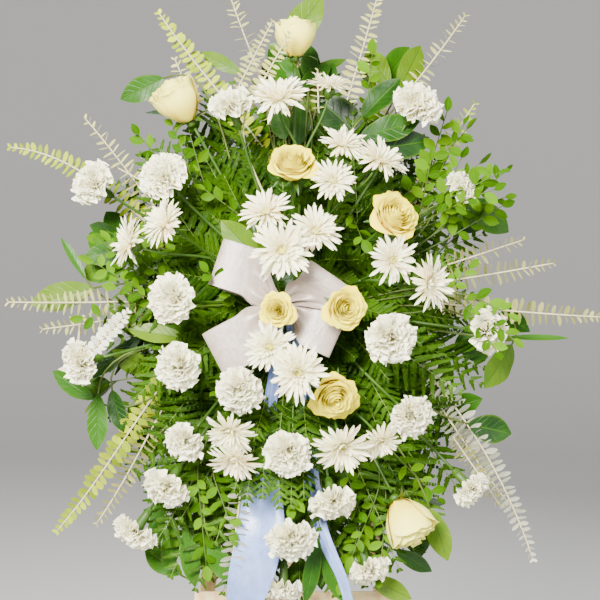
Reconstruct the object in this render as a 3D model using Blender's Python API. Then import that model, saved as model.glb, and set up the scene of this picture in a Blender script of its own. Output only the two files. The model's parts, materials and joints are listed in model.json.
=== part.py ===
"""A standing funeral spray: cut flowers and foliage in a foam block that hangs on a folding wooden easel.

Places in the spray are given as (across, out, up) in metres: across to the right, out from the front
faces of the easel's front legs towards the viewer, and up from the floor along the leaning legs.
"""

import math
import random
from collections import namedtuple

import bmesh
import bpy
import numpy as np
from mathutils import Matrix, Vector
from mathutils.bvhtree import BVHTree

# The easel
LEAN = math.radians(11)
LEG_WIDTH = 0.024
LEG_DEPTH = 0.018
FLOOR_HALF_SPREAD = 0.226
LEG_SLOPE = 0.131
FRONT_LEG_LENGTH = 1.545
PIVOT_UP = 1.490
PIVOT_BACK = 0.009
REAR_LEG_ANGLE = math.radians(16)
REAR_LEG_WIDTH = 0.024
REAR_LEG_DEPTH = 0.022
REAR_LEG_HEAD = 0.034
FOLDING_ROOM = 0.150
BOLT_RADIUS = 0.003
BOLT_HEAD_RADIUS = 0.0075
BOLT_HEAD_THICKNESS = 0.0045
RUNNING_GAP = 0.0003
RAIL_THICKNESS = 0.012
STOP_RAIL = (0.052, 1.497, 1.530)
CROSSBAR = (0.096, 1.196, 1.236)
LEDGE_HALF_LENGTH = 0.150
LEDGE_TOP = 0.693
LEDGE_THICKNESS = 0.015
LEDGE_REACH = 0.058
LIP_THICKNESS = 0.012
LIP_RISE = 0.010

# The foam block in its tray
FOAM_WIDTH = 0.120
FOAM_HEIGHT = 0.230
FOAM_DEPTH = 0.085
FOAM_UP = 1.140
TRAY_WALL = 0.003
TRAY_RIM = 0.014
TRAY_BACK = RAIL_THICKNESS + RUNNING_GAP
HOOK_WIDTH = 0.026
HOOK_ACROSS = 0.030
HOOK_DROP = 0.018
CLAW_HEIGHT = 0.009
CLAW_INSET = 0.002
FOAM_BACK = TRAY_BACK + TRAY_WALL + RUNNING_GAP
FOAM_MIDDLE_OUT = FOAM_BACK + FOAM_DEPTH / 2
SOCKET_DEPTH = 0.015
SOCKET_GAP = 0.0004

# The ribbon
RIBBON_WIDTH = 0.070
RIBBON_THICKNESS = 0.0012
PICK_RADIUS = 0.0018
GATHERED_WIDTH = 0.014
LOOP_STATIONS = 8
KNOT = (-0.013, 0.205, 1.123)

# The plants
FLOWER_STEM = 0.0024
BRANCHLET = 0.0020
BRANCH_STEM = 0.0030
FREE_START = 0.004
FORK_STEP = 0.0007
PETAL_SEED = 5
LEAF_SEED = 11
# How far past its plain place a stem or leaf may be bent or shortened to pass what is already there
SIDE_BENDS = (0.012, 0.025, 0.040, 0.060, 0.085)
BEND_DIRECTIONS = 10
LEAF_TRIES = 15
LEAF_SHORTENING = (1.0, 0.86, 0.72)
# Beyond its base, a leaf keeps this far from the side of the stem that bears it.
LEAF_CLEARANCE = 0.0012
# A leaf turns about its stem by at most this many times six degrees.
MOST_TURNS = 6
# How far behind a leaf's face the test for crossed sides looks
JUST_BEHIND = 0.000001
AIM_SHIFTS = ((0, 0, 0), (0, 0, 0.025), (0, 0, -0.025), (0.018, 0, 0), (-0.018, 0, 0), (0, 0, 0.05),
              (0, 0, -0.05), (0, -0.012, 0), (0, 0.012, 0), (0.03, 0, 0.03), (-0.03, 0, 0.03),
              (0.03, 0, -0.03), (-0.03, 0, -0.03))
CLEARANCE = 0.0008
SHARP_ANGLE = math.radians(38)
SLIVER = 0.00001
SLIVER_PASSES = 3

Flower = namedtuple("Flower", "name kind across out up radius face")
FLOWERS = (
    Flower("rose_upper_left", "bud", -0.179, 0.150, 1.452, 0.037, 0.10),
    Flower("rose_top", "bud", 0.003, 0.150, 1.548, 0.035, 0.00),
    Flower("rose_above_bow", "rose", -0.002, 0.238, 1.333, 0.033, 0.25),
    Flower("rose_right", "rose", 0.153, 0.222, 1.257, 0.034, 0.30),
    Flower("rose_on_knot", "rose", -0.024, 0.272, 1.108, 0.023, 0.35),
    Flower("rose_beside_bow", "rose", 0.077, 0.266, 1.112, 0.028, 0.15),
    Flower("rose_below_bow", "rose", 0.061, 0.228, 0.982, 0.032, 0.25),
    Flower("rose_lower_right", "bud", 0.172, 0.150, 0.794, 0.037, 0.00),
    Flower("carnation_far_left", "carnation", -0.300, 0.140, 1.312, 0.032, 0.35),
    Flower("carnation_left", "carnation", -0.191, 0.192, 1.312, 0.034, 0.45),
    Flower("carnation_top_left", "carnation", -0.092, 0.182, 1.422, 0.031, 0.15),
    Flower("carnation_top_right", "carnation", 0.183, 0.166, 1.426, 0.035, 0.40),
    Flower("carnation_far_right", "carnation", 0.252, 0.160, 1.304, 0.024, 0.30),
    Flower("carnation_left_of_bow", "carnation", -0.176, 0.218, 1.130, 0.033, 0.45),
    Flower("carnation_outer_left", "carnation", -0.316, 0.143, 1.044, 0.031, 0.30),
    Flower("carnation_mid_left", "carnation", -0.166, 0.215, 1.034, 0.032, 0.45),
    Flower("carnation_below_bow", "carnation", -0.077, 0.236, 0.998, 0.031, 0.40),
    Flower("carnation_right_of_bow", "carnation", 0.138, 0.236, 1.072, 0.035, 0.45),
    Flower("carnation_outer_right", "carnation", 0.285, 0.155, 1.090, 0.032, 0.30),
    Flower("carnation_lower_left", "carnation", -0.158, 0.195, 0.925, 0.027, 0.30),
    Flower("carnation_low_left", "carnation", -0.186, 0.165, 0.862, 0.032, 0.10),
    Flower("carnation_bottom_left", "carnation", -0.234, 0.118, 0.797, 0.031, 0.00),
    Flower("carnation_low_middle", "carnation", -0.008, 0.224, 0.909, 0.032, 0.40),
    Flower("carnation_lower_right", "carnation", 0.170, 0.204, 0.962, 0.029, 0.40),
    Flower("carnation_under_right", "carnation", 0.056, 0.184, 0.840, 0.031, 0.05),
    Flower("carnation_under_middle", "carnation", -0.004, 0.178, 0.788, 0.034, 0.30),
    Flower("carnation_bottom_right", "carnation", 0.108, 0.136, 0.742, 0.030, 0.05),
    Flower("carnation_bottom_middle", "carnation", -0.016, 0.112, 0.712, 0.027, 0.00),
    Flower("carnation_right_edge", "carnation", 0.262, 0.130, 0.858, 0.026, 0.05),
)

# Each spray of chrysanthemums has one stem that forks to its heads.
Spray = namedtuple("Spray", "name fork heads")
Head = namedtuple("Head", "across out up radius face")
SPRAYS = (
    Spray("mums_top", (0.012, 0.145, 1.345), (
        Head(-0.022, 0.198, 1.425, 0.042, 0.45), Head(0.052, 0.180, 1.446, 0.034, 0.00))),
    Spray("mums_upper_right", (0.050, 0.160, 1.260), (
        Head(0.070, 0.213, 1.352, 0.035, 0.40), Head(0.056, 0.236, 1.297, 0.034, 0.50),
        Head(0.122, 0.212, 1.328, 0.038, 0.50))),
    Spray("mums_left", (-0.112, 0.140, 1.196), (
        Head(-0.234, 0.190, 1.212, 0.037, 0.40), Head(-0.182, 0.214, 1.238, 0.035, 0.50))),
    Spray("mums_over_bow", (-0.004, 0.150, 1.205), (
        Head(-0.038, 0.240, 1.250, 0.033, 0.30), Head(-0.016, 0.268, 1.194, 0.040, 0.80),
        Head(0.030, 0.246, 1.222, 0.034, 0.60))),
    Spray("mums_right", (0.100, 0.155, 1.165), (
        Head(0.139, 0.236, 1.183, 0.036, 0.60), Head(0.190, 0.215, 1.152, 0.036, 0.50))),
    Spray("mums_under_knot", (-0.004, 0.160, 1.085), (
        Head(-0.034, 0.248, 1.058, 0.034, 0.80), Head(0.006, 0.258, 1.022, 0.037, 0.70))),
    Spray("mums_lower_left", (-0.052, 0.150, 1.005), (
        Head(-0.088, 0.224, 0.944, 0.032, 0.40), Head(-0.082, 0.206, 0.905, 0.035, 0.30))),
    Spray("mums_lower_right", (0.048, 0.150, 1.010), (
        Head(0.068, 0.222, 0.922, 0.038, 0.50), Head(0.122, 0.207, 0.930, 0.028, 0.30))),
)

# A leafy plant: how far along its stem the leaves start, the gap between them, and each leaf's size.
Habit = namedtuple("Habit", "start pitch length width thickness stations lie angle paired taper twist")
HABITS = {
    "eucalyptus": Habit(0.40, 0.046, 0.025, 0.014, 0.0012, ((0.55, 1.0),), "across", 76, True, 0.35, 45),
    "salal": Habit(0.42, 0.044, 0.078, 0.046, 0.0014, ((0.30, 0.92), (0.62, 0.88)),
                   "along", 52, False, 0.10, 12),
    "fern": Habit(0.24, 0.034, 0.058, 0.015, 0.0012, ((0.38, 1.0),), "along", 62, True, 0.72, 8),
    "huckleberry": Habit(0.30, 0.023, 0.030, 0.016, 0.0012, ((0.50, 1.0),), "along", 52, False, 0.35, 25),
}
ROOT_HEIGHT = 0.0028
# Each bunch of foliage has one stem in the foam that forks to these tips.
Bunch = namedtuple("Bunch", "name kind root tips")
BUNCHES = (
    Bunch("eucalyptus_top", "eucalyptus", (0.030, 0.045, 1.262), (
        (-0.105, 0.040, 1.640), (0.134, 0.040, 1.640), (0.268, 0.040, 1.596), (-0.212, 0.040, 1.600))),
    Bunch("eucalyptus_left", "eucalyptus", (-0.068, 0.042, 1.160), (
        (-0.440, 0.050, 1.385), (-0.324, 0.060, 1.428), (-0.436, 0.070, 1.141), (-0.384, 0.065, 1.100),
        (-0.360, 0.050, 0.794), (-0.300, 0.045, 0.806))),
    Bunch("eucalyptus_right", "eucalyptus", (0.068, 0.045, 1.165), (
        (0.470, 0.070, 1.118), (0.398, 0.060, 1.202), (0.352, 0.060, 1.238), (0.280, 0.055, 1.452),
        (0.362, 0.050, 0.752), (0.335, 0.045, 0.826))),
    Bunch("salal_top", "salal", (-0.030, 0.040, 1.262), (
        (0.020, 0.015, 1.610), (-0.220, 0.020, 1.500), (0.176, 0.015, 1.545))),
    Bunch("salal_left", "salal", (-0.068, 0.040, 1.060), (
        (-0.320, 0.020, 1.262), (-0.350, 0.015, 1.010), (-0.285, 0.015, 0.920), (-0.160, 0.015, 0.745))),
    Bunch("salal_right", "salal", (0.068, 0.040, 1.085), (
        (0.310, 0.020, 1.300), (0.325, 0.015, 1.060), (0.290, 0.015, 0.935), (0.205, 0.015, 0.770))),
    Bunch("fern_left", "fern", (-0.068, 0.078, 1.145), (
        (-0.235, 0.130, 1.360), (-0.275, 0.120, 1.130), (-0.240, 0.120, 0.990))),
    Bunch("fern_right", "fern", (0.068, 0.078, 1.120), (
        (0.235, 0.130, 1.200), (0.250, 0.120, 1.000), (0.090, 0.110, 1.430))),
    Bunch("fern_bottom", "fern", (0.010, 0.062, 1.018), (
        (-0.110, 0.110, 0.790), (0.035, 0.100, 0.760), (0.150, 0.090, 0.800))),
    Bunch("huckleberry_right", "huckleberry", (0.068, 0.070, 1.215), (
        (0.262, 0.110, 1.400), (0.322, 0.090, 1.300), (0.120, 0.100, 1.520))),
    Bunch("huckleberry_left", "huckleberry", (-0.068, 0.066, 1.205), (
        (-0.290, 0.110, 1.230), (-0.235, 0.120, 1.390))),
)

COLOURS = {
    "wood": ((0.80, 0.62, 0.42), 0.55, 0.0),
    "steel": ((0.62, 0.60, 0.56), 0.35, 1.0),
    "tray": ((0.05, 0.16, 0.07), 0.50, 0.0),
    "foam": ((0.10, 0.27, 0.13), 0.90, 0.0),
    "satin": ((0.93, 0.91, 0.93), 0.30, 0.0),
    "cream": ((0.95, 0.90, 0.66), 0.55, 0.0),
    "white": ((0.95, 0.94, 0.91), 0.60, 0.0),
    "eucalyptus": ((0.52, 0.60, 0.42), 0.60, 0.0),
    "salal": ((0.09, 0.30, 0.05), 0.35, 0.0),
    "fern": ((0.10, 0.34, 0.05), 0.50, 0.0),
    "huckleberry": ((0.28, 0.55, 0.06), 0.45, 0.0),
}


def place(across, out, up):
    """A place in the spray as a point of the leaning front frame."""
    return Vector((across, -out, up))


FOAM_MIDDLE = place(0.0, FOAM_MIDDLE_OUT, FOAM_UP)
FOAM_HALF = Vector((FOAM_WIDTH / 2, FOAM_DEPTH / 2, FOAM_HEIGHT / 2))
TOWARDS_VIEWER = Vector((0, -1, 0))


# Closed shells

class Shell:
    """A closed surface while it is drawn: its points, its faces, and rings of points bridged by faces."""

    def __init__(self):
        self.points = []
        self.faces = []
        self.base = None

    def ring(self, points):
        first = len(self.points)
        self.points.extend(Vector(p) for p in points)
        return list(range(first, len(self.points)))

    def bridge(self, lower, upper, leave_open=()):
        count = len(lower)
        for k in range(count):
            if k not in leave_open:
                after = (k + 1) % count
                self.faces.append((lower[k], lower[after], upper[after], upper[k]))

    def close(self, ring, tip):
        """Draws a ring together to one point."""
        index = len(self.points)
        self.points.append(Vector(tip))
        for k, corner in enumerate(ring):
            self.faces.append((corner, ring[(k + 1) % len(ring)], index))

    def moved(self, matrix):
        self.points = [matrix @ p for p in self.points]
        return self

    def sealed(self):
        """A copy whose open base is closed."""
        copy = Shell()
        copy.points = list(self.points)
        copy.faces = [*self.faces, tuple(reversed(self.base))]
        return copy

    def mesh(self, name):
        """The shell as a mesh, its faces turned outwards."""
        mesh = bpy.data.meshes.new(name)
        mesh.from_pydata([tuple(p) for p in self.points], [], self.faces)
        draft = bmesh.new()
        draft.from_mesh(mesh)
        bmesh.ops.recalc_face_normals(draft, faces=draft.faces)
        if draft.calc_volume(signed=True) < 0:
            bmesh.ops.reverse_faces(draft, faces=draft.faces)
        bmesh.ops.triangulate(draft, faces=draft.faces)
        draft.to_mesh(mesh)
        draft.free()
        return mesh


def box(low, high):
    """A box between two corners."""
    shell = Shell()
    rings = []
    for z in (low[2], high[2]):
        corners = ((low[0], low[1]), (high[0], low[1]), (high[0], high[1]), (low[0], high[1]))
        rings.append(shell.ring([(x, y, z) for x, y in corners]))
    shell.bridge(*rings)
    shell.faces.append(tuple(reversed(rings[0])))
    shell.faces.append(tuple(rings[1]))
    return shell


def slab(across, out, up):
    """A box in the front frame from its ranges (low, high) across, out and up."""
    return box((across[0], -out[1], up[0]), (across[1], -out[0], up[1]))


def cylinder(start, end, radius, sides):
    """A round bar between two points."""
    shell = Shell()
    rings = [shell.ring(circle(p, end - start, radius, sides)) for p in (start, end)]
    shell.bridge(*rings)
    shell.faces.append(tuple(reversed(rings[0])))
    shell.faces.append(tuple(rings[1]))
    return shell


def circle(middle, direction, radius, sides):
    """Points on a circle that faces along a direction."""
    turn = direction.to_track_quat("Z", "X")
    angles = [math.tau * k / sides for k in range(sides)]
    return [middle + turn @ Vector((radius * math.cos(a), radius * math.sin(a), 0)) for a in angles]


def bezier(controls, t):
    """A point on the cubic curve of four control points."""
    a, b, c, d = controls
    s = 1 - t
    return a * s ** 3 + b * 3 * s * s * t + c * 3 * s * t * t + d * t ** 3


def tube(middles, radii, sides=4):
    """A round stem along a line of points, its radius going evenly from one to the other."""
    shell = Shell()
    rings = []
    last = len(middles) - 1
    for k, middle in enumerate(middles):
        ahead = middles[min(k + 1, last)] - middles[max(k - 1, 0)]
        radius = radii[0] + (radii[1] - radii[0]) * k / last
        rings.append(shell.ring(circle(middle, ahead, radius, sides)))
        if k:
            shell.bridge(rings[-2], rings[-1])
    shell.faces.append(tuple(reversed(rings[0])))
    shell.faces.append(tuple(rings[-1]))
    return shell


def turned(rows, top, sides):
    """A shell about +Z from rings of (radii, heights), with a top point on the axis and an open base."""
    shell = Shell()
    angles = np.arange(sides) * math.tau / sides
    rings = []
    for radii, heights in rows:
        r = np.broadcast_to(radii, sides)
        h = np.broadcast_to(heights, sides)
        rings.append(shell.ring(np.stack([r * np.cos(angles), r * np.sin(angles), h], 1)))
    for lower, upper in zip(rings, rings[1:]):
        shell.bridge(lower, upper)
    shell.close(rings[-1], (0, 0, top))
    shell.base = rings[0]
    return shell


def add_stem(shell, matrix, middles, radius, sides):
    """Grows a stem from the open base of a head, down the line of points to its root."""
    reference = matrix.col[0].to_3d()
    base = shell.base
    share = len(base) // sides
    last = len(middles) - 1
    below = None
    for k, middle in enumerate(middles):
        up = (middles[max(k - 1, 0)] - middles[min(k + 1, last)]).normalized()
        reference = (reference - up * reference.dot(up)).normalized()
        other = up.cross(reference)
        angles = [math.tau * j / sides for j in range(sides)]
        ring = shell.ring([middle + (reference * math.cos(a) + other * math.sin(a)) * radius for a in angles])
        if below is None:
            for j in range(sides):
                for m in range(share):
                    here = j * share + m
                    shell.faces.append((ring[j], base[(here + 1) % len(base)], base[here]))
                after = (j + 1) % sides
                shell.faces.append((ring[j], ring[after], base[(after * share) % len(base)]))
        else:
            shell.bridge(below, ring)
        below = ring
    shell.faces.append(tuple(below))


def standing(at, axis, spin):
    """The matrix that turns +Z to an axis and moves the origin to a place."""
    turn = axis.to_track_quat("Z", "Y").to_matrix().to_4x4()
    return Matrix.Translation(at) @ turn @ Matrix.Rotation(spin, 4, "Z")


# Flower heads, drawn about +Z with their widest rim near height 0

def carnation_head(radius):
    """A tubular calyx under three ruffled tiers of petals."""
    sides = 10
    wave = np.where(np.arange(sides) % 2, 1.0, -1.0)
    r = radius
    rows = (
        (0.0075, -0.018),
        (r * (0.97 + 0.10 * wave), -0.003 - 0.003 * wave),
        (r * 0.74, 0.007),
        (r * (0.80 - 0.10 * wave), 0.016 + 0.003 * wave),
        (r * 0.44, 0.014),
        (r * (0.42 + 0.08 * wave), 0.027 - 0.003 * wave),
    )
    return turned(rows, 0.018, sides), 0.038


def rose_head(radius, tall):
    """Petals cupped round each other: an outer whorl and two inner ones, each with its own rim."""
    sides = 10
    wave = np.where(np.arange(sides) % 2, 1.0, -1.0)
    r = radius
    rows = (
        (r * 0.36, -tall * r * 0.86),
        (r * 0.84, -tall * r * 0.48),
        (r * (0.98 + 0.07 * wave), r * (0.02 + 0.05 * wave)),
        (r * 0.72, -r * 0.16),
        (r * (0.70 - 0.06 * wave), r * (0.16 - 0.03 * wave)),
        (r * 0.44, r * 0.00),
        (r * (0.40 + 0.05 * wave), r * 0.26),
        (r * 0.16, r * 0.12),
    )
    return turned(rows, r * 0.20, sides), tall * r + 0.002


def mum_head(radius):
    """Two whorls of long petals round a low middle, the upper one turned by half a petal."""
    sides = 16
    even = np.arange(sides) % 2 == 0
    r = radius
    rows = (
        (r * 0.26, -0.005),
        (np.where(even, r, r * 0.44), np.where(even, 0.006, 0.001)),
        (r * 0.36, 0.007),
        (np.where(even, r * 0.34, r * 0.72), np.where(even, 0.011, 0.020)),
        (r * 0.20, 0.014),
    )
    return turned(rows, 0.018, sides), 0.014


def head_of(kind, radius):
    """The head's shell with an open base, and how far below its rim its stem begins."""
    if kind == "carnation":
        return carnation_head(radius)
    if kind == "mum":
        return mum_head(radius)
    return rose_head(radius, 1.75 if kind == "bud" else 1.35)


# What is already in the spray, so that nothing else is drawn through it

class Taken:
    """Remembers the pieces drawn so far and says whether a new one would meet them."""

    def __init__(self):
        self.pieces = []

    def add(self, shell, owner):
        tree = BVHTree.FromPolygons(shell.points, shell.faces)
        self.pieces.append((tree, *bounds(shell.points), owner))

    def meets(self, shell, *passed_over):
        """Whether a shell meets a piece of an owner not passed over, or comes nearer than the clearance."""
        tree = BVHTree.FromPolygons(shell.points, shell.faces)
        low, high = bounds(shell.points)
        margin = Vector((CLEARANCE,) * 3)
        for other, other_low, other_high, other_owner in self.pieces:
            if other_owner in passed_over:
                continue
            if any(a > b for a, b in zip(low - margin, other_high)):
                continue
            if any(a > b for a, b in zip(other_low, high + margin)):
                continue
            if tree.overlap(other) or inside(other, shell.points[-1]):
                return True
            if any(other.find_nearest(p, CLEARANCE)[0] is not None for p in shell.points):
                return True
        return False


def bounds(points):
    array = np.array([tuple(p) for p in points])
    return Vector(array.min(0)), Vector(array.max(0))


def inside(tree, point):
    """Whether a point lies in a closed shell: a line from it then leaves through an odd number of faces."""
    direction = Vector((0.13, 0.21, 0.97)).normalized()
    start = point.copy()
    crossings = 0
    while crossings < 12:
        hit = tree.ray_cast(start, direction)[0]
        if hit is None:
            break
        crossings += 1
        start = hit + direction * 1e-5
    return crossings % 2 == 1


taken = Taken()
sockets = []


# Objects

def material(name):
    colour, roughness, metallic = COLOURS[name]
    made = bpy.data.materials.get(name) or bpy.data.materials.new(name)
    made.use_nodes = True
    shader = made.node_tree.nodes["Principled BSDF"]
    shader.inputs["Base Color"].default_value = (*colour, 1)
    shader.inputs["Roughness"].default_value = roughness
    shader.inputs["Metallic"].default_value = metallic
    return made


def piece(name, shell, colour, parent):
    """One object of the model from one closed shell."""
    made = bpy.data.objects.new(name, shell.mesh(name))
    bpy.context.scene.collection.objects.link(made)
    made.data.materials.append(material(colour))
    made.parent = parent
    return made


def shade(made):
    """Smooth shading with an edge kept wherever two faces meet at a marked angle."""
    made.data.shade_smooth()
    made.data.set_sharp_from_angle(angle=SHARP_ANGLE)


def without_slivers(mesh):
    """Draws together the points that a Boolean leaves almost touching, and keeps the faces triangles."""
    draft = bmesh.new()
    draft.from_mesh(mesh)
    bmesh.ops.remove_doubles(draft, verts=draft.verts, dist=SLIVER)
    for _ in range(SLIVER_PASSES):
        bmesh.ops.dissolve_degenerate(draft, dist=SLIVER, edges=draft.edges)
        bmesh.ops.triangulate(draft, faces=draft.faces)
    draft.to_mesh(mesh)
    draft.free()
    return mesh


def combine(made, shells, operation, solver="EXACT"):
    """Applies one Boolean of an object with a collection of shells, which are then removed."""
    helpers = bpy.data.collections.new("helpers")
    bpy.context.scene.collection.children.link(helpers)
    for shell in shells:
        helper = bpy.data.objects.new("helper", shell.mesh("helper"))
        helper.parent = made.parent
        helper.location = made.location
        helpers.objects.link(helper)
    boolean = made.modifiers.new("join", "BOOLEAN")
    boolean.operation = operation
    boolean.operand_type = "COLLECTION"
    boolean.collection = helpers
    boolean.solver = solver
    bpy.context.view_layer.update()
    graph = bpy.context.evaluated_depsgraph_get()
    joined = bpy.data.meshes.new_from_object(made.evaluated_get(graph))
    made.modifiers.remove(boolean)
    made.data = without_slivers(joined)
    for helper in list(helpers.objects):
        bpy.data.objects.remove(helper)
    bpy.data.collections.remove(helpers)
    return made


def fused(name, shells, colour, parent, solver="EXACT"):
    """One object from shells that overlap."""
    made = piece(name, shells[0], colour, parent)
    return combine(made, shells[1:], "UNION", solver)


# The easel

def leg_centre(up):
    """How far a front leg's middle is from the easel's middle at a height."""
    return FLOOR_HALF_SPREAD - LEG_SLOPE * up


def front_leg(side, frame):
    """A splayed leg whose foot is sawn level with the floor."""
    shell = Shell()
    rings = []
    for top in (False, True):
        corners = []
        for x, y in ((-1, 0), (1, 0), (1, 1), (-1, 1)):
            back = y * LEG_DEPTH
            up = FRONT_LEG_LENGTH if top else back * math.tan(LEAN)
            corners.append((side * leg_centre(up) + x * LEG_WIDTH / 2, back, up))
        rings.append(shell.ring(corners))
    shell.bridge(*rings)
    shell.faces.append(tuple(reversed(rings[0])))
    shell.faces.append(tuple(rings[1]))
    made = piece(f"front_leg_{'left' if side < 0 else 'right'}", shell, "wood", frame)
    reach = Vector((leg_centre(PIVOT_UP) + LEG_WIDTH, 0, 0))
    pivot = Vector((0, PIVOT_BACK, PIVOT_UP))
    combine(made, [cylinder(pivot - reach, pivot + reach, BOLT_RADIUS + RUNNING_GAP, 12)], "DIFFERENCE")
    return made


def rear_leg(frame):
    """A leg on the bolt. Above the bolt it is sawn to bear on the stop rail when the easel stands open."""
    opening = LEAN + REAR_LEG_ANGLE
    down = Vector((0, math.sin(opening), -math.cos(opening)))
    back = Vector((0, math.cos(opening), math.sin(opening)))
    pivot = Vector((0, PIVOT_BACK, PIVOT_UP))
    half = back * REAR_LEG_DEPTH / 2

    def to_plane(start, value, row):
        """Where the line along the leg from start reaches a plane of the front frame."""
        return start + down * ((value - start[row]) / down[row])

    def to_floor(start):
        """Where the line along the leg from start reaches the floor."""
        normal = Vector((0, -math.sin(LEAN), math.cos(LEAN)))
        return start + down * (-start.dot(normal) / down.dot(normal))

    head_back = pivot + half - down * REAR_LEG_HEAD
    outline = [
        to_floor(pivot - half),
        to_plane(pivot - half, 0.0, 1),
        Vector((0, 0, head_back.z)),
        head_back,
        to_floor(pivot + half),
    ]
    shell = Shell()
    rings = []
    for side in (-1, 1):
        across = Vector((side * REAR_LEG_WIDTH / 2, 0, 0))
        rings.append(shell.ring([p + across - pivot for p in outline]))
    shell.bridge(*rings)
    shell.faces.append(tuple(reversed(rings[0])))
    shell.faces.append(tuple(rings[1]))
    made = piece("rear_leg", shell, "wood", frame)
    made.location = pivot
    reach = Vector((REAR_LEG_WIDTH, 0, 0))
    combine(made, [cylinder(-reach, reach, BOLT_RADIUS + RUNNING_GAP, 12)], "DIFFERENCE")
    return made


def pivot_bolt(frame):
    """A headed bolt with its nut drawn up against the front legs."""
    pivot = Vector((0, PIVOT_BACK, PIVOT_UP))
    seat = leg_centre(PIVOT_UP - BOLT_HEAD_RADIUS) + LEG_WIDTH / 2 + RUNNING_GAP
    inner = Vector((seat, 0, 0))
    outer = Vector((seat + BOLT_HEAD_THICKNESS, 0, 0))
    end = Vector((seat + BOLT_HEAD_THICKNESS * 1.4, 0, 0))
    shaft = cylinder(pivot - inner * 1.02, pivot + end, BOLT_RADIUS, 12)
    cap = cylinder(pivot - outer, pivot - inner, BOLT_HEAD_RADIUS, 12)
    nut = cylinder(pivot + inner, pivot + outer, BOLT_HEAD_RADIUS, 6)
    return fused("pivot_bolt", [shaft, cap, nut], "steel", frame)


def rails(frame):
    """The stop rail at the top and the crossbar that carries the tray, on the front faces of the legs."""
    for name, (half, low, high) in (("stop_rail", STOP_RAIL), ("crossbar", CROSSBAR)):
        piece(name, slab((-half, half), (RUNNING_GAP, RAIL_THICKNESS), (low, high)), "wood", frame)


def ledge(frame):
    """A shelf across the legs with a lip along its front edge."""
    across = (-LEDGE_HALF_LENGTH, LEDGE_HALF_LENGTH)
    low = LEDGE_TOP - LEDGE_THICKNESS
    shelf = slab(across, (RUNNING_GAP, LEDGE_REACH), (low, LEDGE_TOP))
    lip = slab(across, (LEDGE_REACH - LIP_THICKNESS, LEDGE_REACH), (low, LEDGE_TOP + LIP_RISE))
    return fused("ledge", [shelf, lip], "wood", frame)


def keep_clear_of_easel(tray):
    """Notes the room that the easel, the tray and the foam take, and the space the rear leg folds through."""
    taken.add(box(FOAM_MIDDLE - FOAM_HALF, FOAM_MIDDLE + FOAM_HALF), "foam")
    for shell in tray:
        taken.add(shell, "tray")
    for name, (half, low, high) in (("stop_rail", STOP_RAIL), ("crossbar", CROSSBAR)):
        taken.add(slab((-half, half), (0, RAIL_THICKNESS), (low, high)), name)
    taken.add(box((-REAR_LEG_WIDTH, 0, 0), (REAR_LEG_WIDTH, FOLDING_ROOM, FRONT_LEG_LENGTH)), "rear leg")
    around = LEG_WIDTH * 0.75
    for side in (-1, 1):
        foot = Vector((side * leg_centre(0), LEG_DEPTH / 2, 0))
        top = Vector((side * leg_centre(FRONT_LEG_LENGTH), LEG_DEPTH / 2, FRONT_LEG_LENGTH))
        taken.add(tube([foot, top], (around, around), 8), "front leg")


# The foam block and its tray

def tray_shells():
    """The tray's back, its rim, the claws at its corners and the hooks that go over the crossbar."""
    x = FOAM_HALF.x + RUNNING_GAP
    z = FOAM_HALF.z + RUNNING_GAP
    back = (TRAY_BACK, TRAY_BACK + TRAY_WALL)
    rim = (TRAY_BACK, FOAM_BACK + TRAY_RIM)
    front = FOAM_BACK + FOAM_DEPTH + RUNNING_GAP
    low, high = FOAM_UP - z, FOAM_UP + z
    wall = TRAY_WALL
    shells = [
        slab((-x - wall, x + wall), back, (low - wall, high + wall)),
        slab((-x - wall, x + wall), rim, (low - wall, low)),
        slab((-x - wall, x + wall), rim, (high, high + wall)),
        slab((-x - wall, -x), rim, (low - wall, high + wall)),
        slab((x, x + wall), rim, (low - wall, high + wall)),
    ]
    for side in (-1, 1):
        arm = sorted((side * x, side * (x + wall)))
        tip = sorted((side * (x - CLAW_HEIGHT), side * (x + wall)))
        for up in (low + CLAW_INSET, high - CLAW_INSET - CLAW_HEIGHT):
            shells.append(slab(arm, (TRAY_BACK, front + wall), (up, up + CLAW_HEIGHT)))
            shells.append(slab(tip, (front, front + wall), (up, up + CLAW_HEIGHT)))
        hook = (side * HOOK_ACROSS - HOOK_WIDTH / 2, side * HOOK_ACROSS + HOOK_WIDTH / 2)
        over = CROSSBAR[2] + RUNNING_GAP
        shells.append(slab(hook, (-RUNNING_GAP - wall, TRAY_BACK + wall), (over, over + wall)))
        shells.append(slab(hook, (-RUNNING_GAP - wall, -RUNNING_GAP), (over - HOOK_DROP, over + wall)))
    return shells


def hole_radius(stem):
    """The radius, at its corners, of a hole of five sides that clears a stem."""
    return (stem + SOCKET_GAP) / math.cos(math.pi / 5)


def socket(start, direction, radius):
    """Notes a hole in the foam for a stem that enters at a point."""
    sockets.append((start, direction, radius))


def foam_block(frame):
    """The foam with a plain hole for each stem."""
    low = FOAM_MIDDLE - FOAM_HALF
    high = FOAM_MIDDLE + FOAM_HALF
    made = piece("foam_block", box(low, high), "foam", frame)
    cutters = []
    for start, direction, radius in sockets:
        inner = start - direction * (SOCKET_DEPTH + SOCKET_GAP)
        outer = start + direction * SOCKET_DEPTH
        cutters.append(cylinder(inner, outer, hole_radius(radius), 5))
    combine(made, cutters, "DIFFERENCE")
    return made


def foam_exit(start, direction):
    """Where a line from a point in the foam leaves the block."""
    shares = []
    for low, high, here, step in zip(FOAM_MIDDLE - FOAM_HALF, FOAM_MIDDLE + FOAM_HALF, start, direction):
        if abs(step) > 1e-6:
            shares.append(((high if step > 0 else low) - here) / step)
    return start + direction * min(shares)


# Stems

def bends():
    """Ways to bend a stem aside: none at first, then by more and more in a circle of directions."""
    yield 0.0, 0.0
    for size in SIDE_BENDS:
        for k in range(BEND_DIRECTIONS):
            yield size, math.tau * k / BEND_DIRECTIONS


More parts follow.
